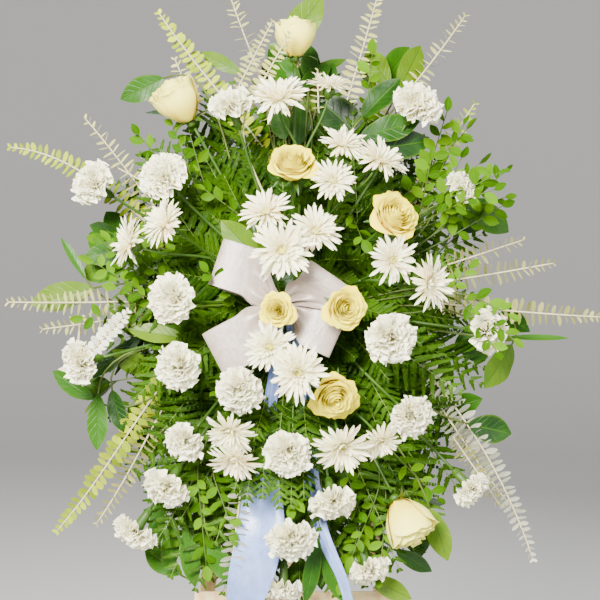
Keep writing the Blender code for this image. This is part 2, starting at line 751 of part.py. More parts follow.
def ways(start, leaving, end, arriving):
    """Cubic curves from start to end, the plain one first."""
    reach = (end - start).length * 0.38
    across = arriving.orthogonal().normalized()
    for turn in (0.0, 0.5, 0.9):
        for size, angle in bends():
            aside = Matrix.Rotation(angle, 3, arriving) @ across
            arrival = (arriving - aside * turn * (size > 0)).normalized()
            yield (start, start + leaving * reach + aside * size * 0.6,
                   end - arrival * reach + aside * size, end)


def clear_way(owner, start, leaving, end, arriving, shell_of):
    """The first way whose shell meets nothing drawn before it, or None."""
    for controls in ways(start, leaving, end, arriving):
        if not taken.meets(shell_of(controls), owner):
            return controls
    return None


def curve(controls, steps):
    """Points along a cubic curve."""
    return [bezier(controls, k / steps) for k in range(steps + 1)]


# The flowers

def head_axis(at, face):
    """A head looks along its stem, turned towards the viewer by its share of facing."""
    outwards = (at - FOAM_MIDDLE).normalized()
    return (outwards * (1 - face) + TOWARDS_VIEWER * face).normalized()


Bloom = namedtuple("Bloom", "shell matrix base axis sides")


def bloom(owner, kind, head, spin):
    """A head in its place, ready for its stem."""
    at = place(head.across, head.out, head.up)
    axis = head_axis(at, head.face)
    matrix = standing(at, axis, spin)
    shell, depth = head_of(kind, head.radius)
    shell.moved(matrix)
    taken.add(shell.sealed(), owner)
    return Bloom(shell, matrix, at - axis * depth, axis, 4 if kind == "mum" else 5)


def rooted_way(owner, end, arriving, steps):
    """A clear way for a flower's stem from the foam to a point, and the straight root of it in its hole."""
    for shift in AIM_SHIFTS:
        aim = FOAM_MIDDLE + Vector(shift)
        outwards = (end - aim).normalized()
        leaves = foam_exit(aim, outwards)
        inner = leaves - outwards * SOCKET_DEPTH
        outer = leaves + outwards * FREE_START
        if taken.meets(cylinder(inner, outer, hole_radius(FLOWER_STEM), 6), owner, "foam"):
            continue
        controls = clear_way(owner, outer, outwards, end, arriving,
                             lambda c: tube(curve(c, steps), (FLOWER_STEM, FLOWER_STEM)))
        if controls:
            socket(leaves, outwards, FLOWER_STEM)
            return controls, inner
    raise ValueError(f"{owner} has no clear way from the foam")


def single_flower(f, drawn, frame):
    """A bloom on its own stem."""
    controls, root = rooted_way(f.name, drawn.base, drawn.axis, 2)
    middles = [root, *curve(controls, 2)]
    taken.add(tube(middles, (FLOWER_STEM, FLOWER_STEM)), f.name)
    add_stem(drawn.shell, drawn.matrix, middles[::-1], FLOWER_STEM, drawn.sides)
    piece(f.name, drawn.shell, "white" if f.kind == "carnation" else "cream", frame)


def flower_spray(s, blooms, frame):
    """Chrysanthemums on branches that fork from one stem."""
    fork = place(*s.fork)
    outwards = (fork - FOAM_MIDDLE).normalized()
    controls, root = rooted_way(s.name, fork, outwards, 2)
    stem = tube([root, *curve(controls, 2)], (FLOWER_STEM, FLOWER_STEM))
    taken.add(stem, s.name)
    shells = [stem]
    for number, drawn in enumerate(blooms):
        start = fork - outwards * FLOWER_STEM + TOWARDS_VIEWER * FORK_STEP * (number - (len(blooms) - 1) / 2)
        leaving = (outwards + (drawn.base - fork).normalized()).normalized()
        controls = clear_way(s.name, start, leaving, drawn.base, drawn.axis,
                             lambda c: tube(curve(c, 2), (BRANCHLET, BRANCHLET)))
        if controls is None:
            raise ValueError(f"{s.name} has no clear way for a branch")
        middles = curve(controls, 2)
        taken.add(tube(middles, (BRANCHLET, BRANCHLET)), s.name)
        add_stem(drawn.shell, drawn.matrix, middles[::-1], BRANCHLET, drawn.sides)
        shells.append(drawn.shell)
    fused(s.name, shells, "white", frame)


def flowers(frame):
    """Roses, carnations and chrysanthemums. All the heads are set first, and then the stems between them."""
    rng = random.Random(PETAL_SEED)
    singles = [(f, bloom(f.name, f.kind, f, rng.uniform(0, math.tau))) for f in FLOWERS]
    sprays = [(s, [bloom(s.name, "mum", h, rng.uniform(0, math.tau)) for h in s.heads]) for s in SPRAYS]
    for s, blooms in sprays:
        flower_spray(s, blooms, frame)
    for f, drawn in singles:
        single_flower(f, drawn, frame)


# The ribbon

def ribbon_strip(middles, sides, widths):
    """A strip of ribbon along its middle line, each station with its crosswise direction and width."""
    shell = Shell()
    rings = []
    for k, middle in enumerate(middles):
        ahead = middles[min(k + 1, len(middles) - 1)] - middles[max(k - 1, 0)]
        normal = ahead.cross(sides[k]).normalized() * RIBBON_THICKNESS / 2
        side = sides[k].normalized() * widths[k] / 2
        rings.append(shell.ring([middle - side - normal, middle + side - normal,
                                 middle + side + normal, middle - side + normal]))
        if k:
            shell.bridge(rings[-2], rings[-1])
    shell.faces.append(tuple(reversed(rings[0])))
    shell.faces.append(tuple(rings[-1]))
    return shell


def bow_loop(angle, length, lift, tilt):
    """A loop that leaves the knot along an angle of the front plane, opens and comes back above itself."""
    knot = place(*KNOT)
    along = Vector((math.cos(angle), 0, math.sin(angle)))
    crosswise = Vector((-math.sin(angle), 0, math.cos(angle)))
    crosswise = (crosswise + TOWARDS_VIEWER * tilt).normalized()
    middles = []
    widths = []
    for k in range(LOOP_STATIONS + 1):
        s = k / LOOP_STATIONS
        away = math.sin(math.pi * s)
        forwards = lift * (s - 0.5) * away ** 0.5 * 2 + 0.10 * length * away
        middles.append(knot + along * length * away ** 0.8 + TOWARDS_VIEWER * forwards)
        widths.append(GATHERED_WIDTH + (RIBBON_WIDTH - GATHERED_WIDTH) * min(1.0, 1.6 * away))
    return ribbon_strip(middles, [crosswise] * len(middles), widths)


def ribbon_tail(name, route, frame):
    """A tail from below the knot, gathered where it lies among the flowers and spread where it hangs free."""
    middles = [place(*p[:3]) for p in route]
    sides = [Vector((math.cos(math.radians(p[4])), -math.sin(math.radians(p[4])), 0)) for p in route]
    shell = ribbon_strip(middles, sides, [p[3] for p in route])
    taken.add(shell, name)
    return piece(name, shell, "satin", frame)


# Each tail's stations: across, out, up, the width that it shows, and its turn from facing the viewer
TAIL_LEFT = (
    (-0.0180, 0.200, 1.1100, 0.008, 0),
    (-0.0190, 0.184, 1.093, 0.010, 0),
    (-0.024, 0.168, 1.045, 0.018, 10),
    (-0.034, 0.160, 0.990, 0.020, 20),
    (-0.040, 0.152, 0.930, 0.022, 20),
    (-0.046, 0.144, 0.865, 0.034, 5),
    (-0.048, 0.142, 0.815, 0.054, 0),
    (-0.054, 0.152, 0.755, 0.064, 0),
    (-0.065, 0.170, 0.690, 0.068, 0),
    (-0.080, 0.184, 0.625, 0.068, 0),
)
TAIL_RIGHT = (
    (-0.0080, 0.200, 1.1100, 0.008, 0),
    (-0.0065, 0.184, 1.093, 0.010, 0),
    (0.006, 0.168, 1.045, 0.018, 0),
    (0.018, 0.152, 0.990, 0.020, 0),
    (0.020, 0.140, 0.930, 0.022, 0),
    (0.024, 0.124, 0.860, 0.028, 30),
    (0.041, 0.132, 0.800, 0.046, 70),
    (0.062, 0.152, 0.740, 0.060, 80),
    (0.080, 0.172, 0.680, 0.066, 78),
    (0.096, 0.186, 0.620, 0.068, 72),
)
# Each loop's direction in the front plane, its length, how far its two sides part, and its turn upwards
LOOPS = ((math.radians(153), 0.118, 0.030, 0.0), (math.radians(213), 0.134, 0.030, 0.0),
         (math.radians(36), 0.074, 0.030, 0.2), (math.radians(-30), 0.077, 0.026, 0.0))


def ribbon(frame):
    """The bow on its pick, and its two tails."""
    knot = place(*KNOT)
    outwards = (knot - FOAM_MIDDLE).normalized()
    leaves = foam_exit(FOAM_MIDDLE, outwards)
    socket(leaves, outwards, PICK_RADIUS)
    pick = cylinder(leaves - outwards * SOCKET_DEPTH, knot, PICK_RADIUS, 5)
    gather = turned(((0.009, -0.008), (0.013, 0.002), (0.009, 0.010)), 0.013, 8)
    shells = [pick, gather.sealed().moved(standing(knot, TOWARDS_VIEWER, 0))]
    for loop in LOOPS:
        shells.append(bow_loop(*loop))
    for shell in shells:
        taken.add(shell, "bow")
    fused("bow", shells, "satin", frame)
    ribbon_tail("ribbon_tail_left", TAIL_LEFT, frame)
    ribbon_tail("ribbon_tail_right", TAIL_RIGHT, frame)


# The foliage

def leaf_shell(corners, axis, tangent, length, habit, scale, curl, twist):
    """A leaf that grows out of three corners of its stem: a rib and two margins, drawn to a tip.
    Its blade lies along the stem's direction or across it, but for a twist about its own axis."""
    shell = Shell()
    last = shell.ring(corners)
    shell.base = last
    base = sum(corners, Vector()) / 3
    along = (tangent - axis * tangent.dot(axis)).normalized()
    side = axis.cross(along)
    if side.dot(corners[1] - corners[0]) < 0:
        side = -side
    turn = Matrix.Rotation(twist, 3, axis)
    along, side = turn @ along, turn @ side
    for t, share in habit.stations:
        middle = base + axis * length * t + curl * length * t * t
        half = habit.width * scale * share / 2
        if habit.lie == "across":
            ring = (middle - side * half, middle + side * half, middle + along * habit.thickness)
        else:
            ring = (middle - along * half, middle + side * habit.thickness, middle + along * half)
        upper = shell.ring(ring)
        shell.bridge(last, upper)
        last = upper
    shell.close(last, base + axis * length + curl * length)
    return shell


def volume_under(shell, face):
    """Six times the signed volume between a face and the origin."""
    first = shell.points[face[0]]
    pairs = zip(face[1:], face[2:])
    return sum(first.dot(shell.points[b].cross(shell.points[c])) for b, c in pairs)


def bulged(leaf):
    """A leaf whose four-sided faces are split along the diagonal that bulges outwards, which keeps its
    two sides apart, and whose faces all look outwards."""
    if sum(volume_under(leaf, face) for face in leaf.sealed().faces) < 0:
        leaf.faces = [tuple(reversed(face)) for face in leaf.faces]
        leaf.base = leaf.base[::-1]
    faces = []
    for face in leaf.faces:
        if len(face) == 3:
            faces.append(face)
            continue
        a, b, c, d = face
        splits = (((a, b, c), (a, c, d)), ((a, b, d), (b, c, d)))
        faces.extend(max(splits, key=lambda pair: sum(volume_under(leaf, half) for half in pair)))
    leaf.faces = faces
    return leaf


def sides_cross(leaf):
    """Whether a leaf's two sides pass through each other. A point just behind one of its faces then lies
    outside it, so that the solid angles of its faces, seen from there, don't add up to a whole sphere."""
    corners = np.array([[tuple(leaf.points[index]) for index in face] for face in leaf.sealed().faces])
    normals = np.cross(corners[:, 1] - corners[:, 0], corners[:, 2] - corners[:, 0])
    normals /= np.linalg.norm(normals, axis=1)[:, None]
    behind = corners.mean(axis=1) - normals * JUST_BEHIND
    a, b, c = (corners[None, :, k] - behind[:, None] for k in range(3))
    long_a, long_b, long_c = (np.linalg.norm(ray, axis=2) for ray in (a, b, c))
    over = np.sum(a * np.cross(b, c), axis=2)
    under = long_a * long_b * long_c + np.sum(a * b, axis=2) * long_c
    under += np.sum(b * c, axis=2) * long_a + np.sum(c * a, axis=2) * long_b
    turns = np.arctan2(over, under).sum(axis=1) / math.tau
    return bool((turns < 0.5).any())


def clear_leaf(corners, tangent, outwards, habit, scale, rng):
    """A leaf that is turned, raised or shortened until it is sound and clear of everything, or None."""
    for attempt in range(LEAF_TRIES):
        angle = math.radians(habit.angle + rng.uniform(-6, 6) * (1 + attempt % 5))
        axis = outwards * math.sin(angle) + tangent * math.cos(angle)
        about_stem = rng.uniform(-6, 6) * min(1 + attempt, MOST_TURNS)
        axis = Matrix.Rotation(math.radians(about_stem), 3, tangent) @ axis
        curl = TOWARDS_VIEWER * rng.uniform(-0.16, 0.10) * (habit.lie == "along")
        length = habit.length * scale * LEAF_SHORTENING[attempt * len(LEAF_SHORTENING) // LEAF_TRIES]
        twist = math.radians(rng.uniform(-habit.twist, habit.twist))
        leaf = bulged(leaf_shell(corners, axis, tangent, length, habit, scale, curl, twist))
        away = min((point - corners[0]).dot(outwards) for point in leaf.points[3:])
        if away > LEAF_CLEARANCE and not sides_cross(leaf) and not taken.meets(leaf):
            return leaf
    return None


def stem_stations(habit, length):
    """Where along a leafy stem its rings lie: two on the bare part, then one under each leaf or pair."""
    count = max(3, round((1 - habit.start) * length / habit.pitch))
    bare = [0.0, habit.start / 3, habit.start * 2 / 3]
    return bare + [habit.start + (0.96 - habit.start) * k / (count - 1) for k in range(count)]


def leafy_rings(controls, stations):
    """The rings of a leafy stem of four sides, each turned so that one side faces the viewer."""
    shell = Shell()
    rings = []
    middles = [bezier(controls, t) for t in stations]
    middles.append(controls[3])
    for k, t in enumerate(stations):
        tangent = (middles[k + 1] - middles[max(k - 1, 0)]).normalized()
        across = tangent.cross(TOWARDS_VIEWER).normalized()
        front = across.cross(tangent).normalized()
        radius = BRANCH_STEM * 0.75 * (1 - 0.60 * t)
        points = []
        for turn in (-0.25, 0.25, 0.75, 1.25):
            angle = math.pi * turn
            points.append(middles[k] + (across * math.cos(angle) + front * math.sin(angle)) * radius)
        rings.append((shell.ring(points), tangent, (across, front, -across, -front)))
    return shell, rings


def bare_shell(controls, stations):
    """A leafy stem before its leaves."""
    shell, rings = leafy_rings(controls, stations)
    for (lower, _, _), (upper, _, _) in zip(rings, rings[1:]):
        shell.bridge(lower, upper)
    shell.faces.append(tuple(reversed(rings[0][0])))
    shell.close(rings[-1][0], controls[3])
    return shell


def sides_with_leaves(habit, node):
    """Which of a stem's four sides bear a leaf at a node."""
    if habit.lie == "across":
        return (0, 2) if node % 2 else (1, 3)
    if habit.paired:
        return (0, 2)
    return (0,) if node % 2 else (2,)


def leafy_shell(controls, stations, habit, owner, rng):
    """A leafy stem. Each leaf grows out of a small opening in its side of the stem."""
    shell, rings = leafy_rings(controls, stations)
    shell.faces.append(tuple(reversed(rings[0][0])))
    first_leaf = 3
    nodes = len(stations) - first_leaf
    for k in range(len(rings) - 1):
        lower, tangent, faces = rings[k]
        upper = rings[k + 1][0]
        bearing = sides_with_leaves(habit, k) if k >= first_leaf else ()
        scale = 1 - habit.taper * (k - first_leaf) / nodes
        for side in range(4):
            a, b = lower[side], lower[(side + 1) % 4]
            d, c = upper[side], upper[(side + 1) % 4]
            leaf = None
            if side in bearing:
                ends = (shell.points[a], shell.points[b])
                above = (ends[0] + ends[1]) / 2 + tangent * ROOT_HEIGHT
                leaf = clear_leaf((*ends, above), tangent, faces[side], habit, scale, rng)
            if leaf is None:
                shell.faces.append((a, b, c, d))
                continue
            taken.add(leaf, owner + " leaf")
            offset = len(shell.points)
            names = {0: a, 1: b}
            for index in range(2, len(leaf.points)):
                names[index] = offset + index - 2
            shell.points.extend(leaf.points[2:])
            shell.faces.extend(tuple(names[index] for index in face) for face in leaf.faces)
            m = names[2]
            shell.faces.extend(((a, m, d), (m, c, d), (b, c, m)))
    shell.close(rings[-1][0], controls[3])
    return shell


def bunch(b, frame, rng):
    """Foliage of one kind: a stub in the foam that forks to its leafy stems."""
    root = place(*b.root)
    beside = abs(root.x) > FOAM_HALF.x
    if beside:
        outwards = Vector((math.copysign(1, root.x), 0, 0))
        reach = FOAM_HALF.x
    else:
        outwards = Vector((0, 0, math.copysign(1, root.z - FOAM_UP)))
        reach = FOAM_HALF.z
    leaves = root - outwards * (abs((root - FOAM_MIDDLE).dot(outwards)) - reach)
    stub = cylinder(leaves - outwards * SOCKET_DEPTH, root, BRANCH_STEM, 6)
    socket(leaves, outwards, BRANCH_STEM)
    shells = [stub]
    habit = HABITS[b.kind]
    for number, tip in enumerate(b.tips):
        start = root - outwards * 0.002 + TOWARDS_VIEWER * FORK_STEP * (number - (len(b.tips) - 1) / 2)
        end = place(*tip)
        direction = (end - start).normalized()
        leaving = (outwards + direction).normalized()
        stations = stem_stations(habit, (end - start).length * 1.05)
        controls = clear_way(b.name, start, leaving, end, direction, lambda c: bare_shell(c, stations))
        if controls is None:
            raise ValueError(f"{b.name} has no clear way for a stem")
        stem = leafy_shell(controls, stations, habit, b.name, rng)
        taken.add(bare_shell(controls, stations), b.name)
        shells.append(stem)
    taken.add(stub, b.name)
    # The exact solver leaves some of the thin leaves apart from their stems.
    fused(b.name, shells, b.kind, frame, "MANIFOLD")


def foliage(frame):
    """All the bunches, each drawn clear of what stands before it."""
    rng = random.Random(LEAF_SEED)
    for b in BUNCHES:
        bunch(b, frame, rng)


def finish(frame):
    """Shades every piece and moves the frame so that the whole stands centred on the origin."""
    bpy.context.view_layer.update()
    corners = []
    for made in bpy.data.objects:
        if made.type == "MESH":
            shade(made)
            corners.extend(made.matrix_world @ v.co for v in made.data.vertices)
    low, high = bounds(corners)
    frame.location = (-(low.x + high.x) / 2, -(low.y + high.y) / 2, 0)


def main():
    for old in list(bpy.data.objects):
        bpy.data.objects.remove(old)
    frame = bpy.data.objects.new("front_frame", None)
    bpy.context.scene.collection.objects.link(frame)
    frame.rotation_euler = (-LEAN, 0, 0)
    for side in (-1, 1):
        front_leg(side, frame)
    rear_leg(frame)
    pivot_bolt(frame)
    rails(frame)
    ledge(frame)
    tray = tray_shells()
    fused("foam_tray", tray, "tray", frame)
    keep_clear_of_easel(tray)
    ribbon(frame)
    flowers(frame)
    foliage(frame)
    foam_block(frame)
    finish(frame)


main()
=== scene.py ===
"""The looks of a standing funeral spray: petals, leaves, ribbon and a wooden easel, round a fixed frame.

Places in the spray are (across, out, up), as in the easel's leaning front frame: across to the right, out
towards the viewer from the front faces of the legs, and up along the legs. The tables of places are in
millimetres, with their radii, widths and lengths. Everything else is in metres.
"""

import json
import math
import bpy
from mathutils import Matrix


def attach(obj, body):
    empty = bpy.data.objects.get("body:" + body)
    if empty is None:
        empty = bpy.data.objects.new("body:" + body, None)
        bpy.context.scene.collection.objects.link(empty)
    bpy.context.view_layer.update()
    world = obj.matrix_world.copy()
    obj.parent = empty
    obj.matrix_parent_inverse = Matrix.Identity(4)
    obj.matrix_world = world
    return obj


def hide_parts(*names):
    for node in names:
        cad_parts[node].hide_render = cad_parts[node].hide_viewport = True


bl_info = {
    "name": "Standing Funeral Spray",
    "version": (1, 0, 0),
    "blender": (4, 5, 0),
    "location": "View3D > Sidebar > Spray",
    "description": "Dresses the spray's solids with petals, leaves, ribbon and wood",
    "category": "Object",
}

import bpy
import numpy as np
from bpy.props import FloatProperty, FloatVectorProperty, IntProperty, PointerProperty
from mathutils import Vector

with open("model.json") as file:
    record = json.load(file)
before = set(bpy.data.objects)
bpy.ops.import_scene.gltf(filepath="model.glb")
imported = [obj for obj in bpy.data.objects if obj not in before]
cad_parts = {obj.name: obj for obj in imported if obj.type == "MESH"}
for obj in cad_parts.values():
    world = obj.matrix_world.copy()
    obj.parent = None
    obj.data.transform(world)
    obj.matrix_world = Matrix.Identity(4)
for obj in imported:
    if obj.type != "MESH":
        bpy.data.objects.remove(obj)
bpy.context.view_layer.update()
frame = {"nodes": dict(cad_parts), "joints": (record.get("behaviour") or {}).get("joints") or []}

# The leaning front frame, whose place follows from the hinge of the rear leg
LEAN = math.radians(11)
HINGE_BACK = 0.009
HINGE_UP = 1.490
LEANING = np.array(((1, 0, 0), (0, math.cos(LEAN), math.sin(LEAN)), (0, -math.sin(LEAN), math.cos(LEAN))))
FRAME_PLACE = np.array(frame["joints"][0]["pos_m"]) - LEANING @ np.array((0, HINGE_BACK, HINGE_UP))

FOAM_UP = 1.140
FOAM_MIDDLE = np.array((0, -0.0581, FOAM_UP))
FOAM_HALF = np.array((0.060, 0.0425, 0.115))
FOAM_FRONT = 0.1006
TOWARDS_VIEWER = np.array((0.0, -1.0, 0.0))
GOLDEN_TURN = math.pi * (3 - math.sqrt(5))
STEM_RADIUS = 0.0024
BRANCH_RADIUS = 0.0020
TWIG_RADIUS = 0.0016

# Which of its piece's finishes a surface has: that of petals and leaves, of stems, or of a chrysanthemum's
# eye. A eucalyptus leaf's is the common one, or that of the young or the pale ones; the pale finish is a
# real silvery colour on some sprigs and painted light on the lowest sprigs of the right bunch
BLADE, STEM, EYE = 0, 1, 2
COMMON, YOUNG, SILVER_AND_PAINTED_LIGHT = 0, 2, 3

# Carnations: place of the head, radius, and how far it turns from its stem's way out to the viewer
CARNATIONS = {
    "far_left": (-300, 140, 1312, 32, 0.35), "left": (-191, 192, 1312, 34, 0.45),
    "top_left": (-92, 182, 1422, 31, 0.15), "top_right": (183, 166, 1426, 35, 0.40),
    "far_right": (252, 160, 1304, 24, 0.30), "left_of_bow": (-176, 218, 1130, 33, 0.45),
    "outer_left": (-316, 143, 1044, 31, 0.30), "mid_left": (-166, 215, 1034, 32, 0.45),
    "below_bow": (-77, 236, 998, 31, 0.40), "right_of_bow": (138, 236, 1072, 35, 0.45),
    "outer_right": (285, 155, 1090, 32, 0.30), "lower_left": (-158, 195, 925, 27, 0.30),
    "low_left": (-186, 165, 862, 32, 0.10), "bottom_left": (-234, 118, 797, 31, 0.00),
    "low_middle": (-8, 224, 909, 32, 0.40), "lower_right": (170, 204, 962, 29, 0.40),
    "under_right": (56, 184, 840, 31, 0.05), "under_middle": (-4, 178, 788, 34, 0.30),
    "bottom_right": (108, 136, 742, 30, 0.05), "bottom_middle": (-16, 112, 712, 27, 0.00),
    "right_edge": (262, 130, 858, 26, 0.05),
}
# Roses: the same, and whether it is half open
ROSES = {
    "upper_left": (-184, 150, 1458, 40, 0.10, True), "top": (1, 150, 1556, 35, 0.00, True),
    "above_bow": (-2, 238, 1333, 33, 0.25, False), "right": (153, 222, 1257, 34, 0.30, False),
    "on_knot": (-24, 272, 1108, 23, 0.35, False), "beside_bow": (77, 266, 1112, 28, 0.15, False),
    "below_bow": (61, 228, 982, 32, 0.25, False), "lower_right": (176, 150, 788, 41, 0.00, True),
}
# Sprays of chrysanthemums: where the stem forks, and the heads, each with its place, radius and turn
SPRAYS = {
    "top": ((12, 145, 1345), (-22, 198, 1425, 42, 0.45), (52, 180, 1446, 34, 0.00)),
    "upper_right": ((50, 160, 1260), (70, 213, 1352, 35, 0.25), (56, 236, 1297, 34, 0.50),
                    (122, 212, 1328, 43, 0.05)),
    "left": ((-112, 140, 1196), (-234, 190, 1212, 41, 0.00), (-182, 214, 1238, 38, 0.10)),
    "over_bow": ((-4, 150, 1205), (-38, 240, 1250, 38, 0.05), (-16, 268, 1194, 45, 0.80),
                 (30, 246, 1222, 38, 0.10)),
    "right": ((100, 155, 1165), (139, 236, 1183, 39, 0.40), (190, 215, 1152, 40, 0.05)),
    "under_knot": ((-4, 160, 1085), (-34, 248, 1058, 37, 0.80), (6, 258, 1022, 42, 0.60)),
    "lower_left": ((-52, 150, 1005), (-88, 224, 944, 37, 0.15), (-82, 206, 905, 40, 0.10)),
    "lower_right": ((48, 150, 1010), (68, 222, 922, 42, 0.25), (122, 207, 930, 31, 0.20)),
}
# Bunches of eucalyptus: root in the foam, and tips, each with how far its leaves open to the viewer, their
# finish, and for a bent stem the way in which it ends
EUCALYPTUS = {
    "top": ((30, 45, 1262),
        (-105, 40, 1640, 0.40, COMMON), (134, 40, 1640, 0.62, COMMON), (268, 40, 1596, 0.42, COMMON),
        (-212, 40, 1600, 0.80, YOUNG)),
    "left": ((-68, 42, 1160),
        (-440, 50, 1385, 0.66, YOUNG, (-1.0, 0.0, 0.02)), (-324, 60, 1428, 0.36, COMMON),
        (-436, 70, 1141, 0.32, COMMON), (-384, 65, 1100, 0.32, COMMON), (-360, 50, 794, 0.75, YOUNG),
        (-300, 45, 806, 0.38, COMMON)),
    "right": ((68, 45, 1165),
        (470, 70, 1118, 0.50, COMMON), (398, 60, 1202, 0.36, COMMON), (352, 60, 1238, 0.36, COMMON),
        # Painted light: the two lowest sprigs take the pale finish to stand in for light that falls off
        # below the spray
        (280, 55, 1452, 0.45, YOUNG), (362, 50, 752, 0.50, SILVER_AND_PAINTED_LIGHT, (0.3, 0.0, -1.0)),
        (335, 45, 826, 0.36, SILVER_AND_PAINTED_LIGHT)),
}
# Other bunches: root in the foam, and tips
LEMON_LEAVES = {
    "top": ((-30, 40, 1262), (20, 15, 1610), (-220, 20, 1500), (176, 15, 1545)),
    "left": ((-68, 40, 1060), (-320, 20, 1262), (-350, 15, 1010), (-285, 15, 920), (-160, 15, 745)),
    "right": ((68, 40, 1085), (310, 20, 1300), (325, 15, 1060), (290, 15, 935), (205, 15, 770)),
}
FERNS = {
    "left": ((-68, 78, 1145), (-235, 130, 1360), (-275, 120, 1130), (-240, 120, 990)),
    "right": ((68, 78, 1120), (235, 130, 1200), (250, 120, 1000), (90, 110, 1430)),
    "bottom": ((10, 62, 1018), (-110, 110, 790), (35, 100, 760), (150, 90, 800)),
}
HUCKLEBERRY = {
    "right": ((68, 70, 1215), (262, 110, 1400), (322, 90, 1300), (120, 100, 1520)),
    "left": ((-68, 66, 1205), (-290, 110, 1230), (-235, 120, 1390)),
}
# Further sprigs of eucalyptus: base, tip, leaf length, how far the leaves open, and their finish
EUCALYPTUS_FILL = (
    (-87, 80, 1472, -34, 100, 1571, 14, 0.50, COMMON), (-66, 165, 1427, -7, 195, 1527, 14, 0.50, COMMON),
    (37, 100, 1436, 36, 110, 1493, 13, 0.30, COMMON), (-321, 90, 1048, -248, 130, 1120, 16, 0.75, SILVER_AND_PAINTED_LIGHT),
    (-76, 140, 873, -95, 165, 708, 20, 0.32, SILVER_AND_PAINTED_LIGHT), (-152, 60, 1439, -186, 50, 1524, 18, 0.70, COMMON),
    (244, 70, 931, 311, 70, 833, 16, 0.40, COMMON), (-219, 100, 1317, -269, 90, 1345, 15, 0.30, COMMON),
)
# Single lemon leaves: base, tip, half width, and shade from 0, old and dark, to 100, young and lime
SINGLE_LEAVES = (
    (162, 50, 1473, 204, 30, 1553, 22, 85), (149, 50, 1482, 110, 30, 1548, 19, 80),
    (103, 120, 1417, 161, 120, 1478, 22, 10), (110, 100, 1384, 33, 100, 1455, 29, 2),
    (100, 130, 1385, 190, 130, 1411, 21, 16), (115, 120, 1367, 210, 120, 1383, 22, 5),
    (9, 30, 1500, 82, 20, 1534, 10, 70), (271, 60, 1293, 332, 50, 1252, 22, 60),
    (-254, 50, 1240, -319, 40, 1263, 22, 35), (-257, 50, 1227, -327, 40, 1211, 18, 22),
    (-260, 50, 1243, -293, 40, 1288, 18, 40), (-322, 45, 1180, -362, 40, 1247, 7, 42),
    (-310, 40, 1166, -410, 30, 1142, 22, 95), (-234, 50, 1091, -317, 40, 1025, 13, 5),
    (-308, 40, 994, -374, 30, 1038, 16, 30), (-299, 60, 1001, -301, 50, 916, 16, 50),
    (-279, 50, 1008, -263, 50, 944, 15, 10), (-172, 60, 728, -226, 50, 765, 18, 50),
    (-134, 70, 772, -85, 60, 716, 19, 20), (-132, 80, 788, -146, 70, 733, 10, 35),
    (202, 110, 829, 229, 100, 751, 18, 90), (110, 100, 727, 176, 90, 694, 15, 85),
    (154, 60, 765, 209, 50, 732, 13, 10), (36, 130, 785, 16, 120, 690, 13, 30),
    (42, 120, 763, 80, 110, 687, 15, 42), (266, 50, 956, 334, 40, 941, 22, 5),
    (335, 50, 1078, 293, 60, 1009, 24, 75), (295, 50, 1140, 367, 40, 1101, 19, 10),
    (323, 60, 1088, 422, 60, 1087, 5, 60), (-47, 150, 1190, -109, 140, 1257, 22, 90),
    (-45, 150, 1202, -48, 140, 1278, 18, 85), (-202, 70, 1490, -271, 60, 1459, 19, 30),
    (-19, 40, 1542, 45, 30, 1632, 25, 90), (-82, 40, 1504, -150, 30, 1543, 12, 85),
    (262, 110, 1113, 330, 100, 1080, 13, 90), (-163, 100, 1083, -252, 100, 1096, 15, 92),
    (9, 50, 1473, -41, 40, 1542, 21, 35), (9, 60, 1474, 56, 50, 1520, 15, 30),
    (-7, 30, 1464, -51, 30, 1525, 18, 12), (3, 40, 1465, 37, 35, 1535, 19, 15),
    (-13, 50, 1476, -18, 45, 1528, 17, 30), (-33, 120, 1139, -6, 130, 1195, 17, 12),
    (-28, 125, 1138, -48, 130, 1186, 15, 20), (-18, 120, 1109, 21, 130, 1071, 16, 15),
    (-124, 125, 782, -94, 125, 720, 17, 50), (9, 80, 751, -3, 80, 692, 15, 55),
    (-58, 90, 781, -47, 100, 723, 14, 35), (23, 50, 1492, 26, 40, 1549, 16, 20),
    (7, 60, 1387, 11, 60, 1451, 17, 15), (43, 40, 1475, 62, 35, 1524, 14, 30),
    (-14, 70, 1393, -28, 70, 1437, 15, 25), (-162, 90, 799, -149, 85, 710, 15, 45),
    (-184, 70, 810, -190, 60, 728, 14, 55), (-136, 100, 808, -125, 100, 731, 12, 62),
    (-203, 60, 840, -213, 50, 762, 13, 30), (87, 80, 796, 66, 80, 713, 15, 30),
    (36, 60, 780, 42, 60, 705, 14, 20),
)
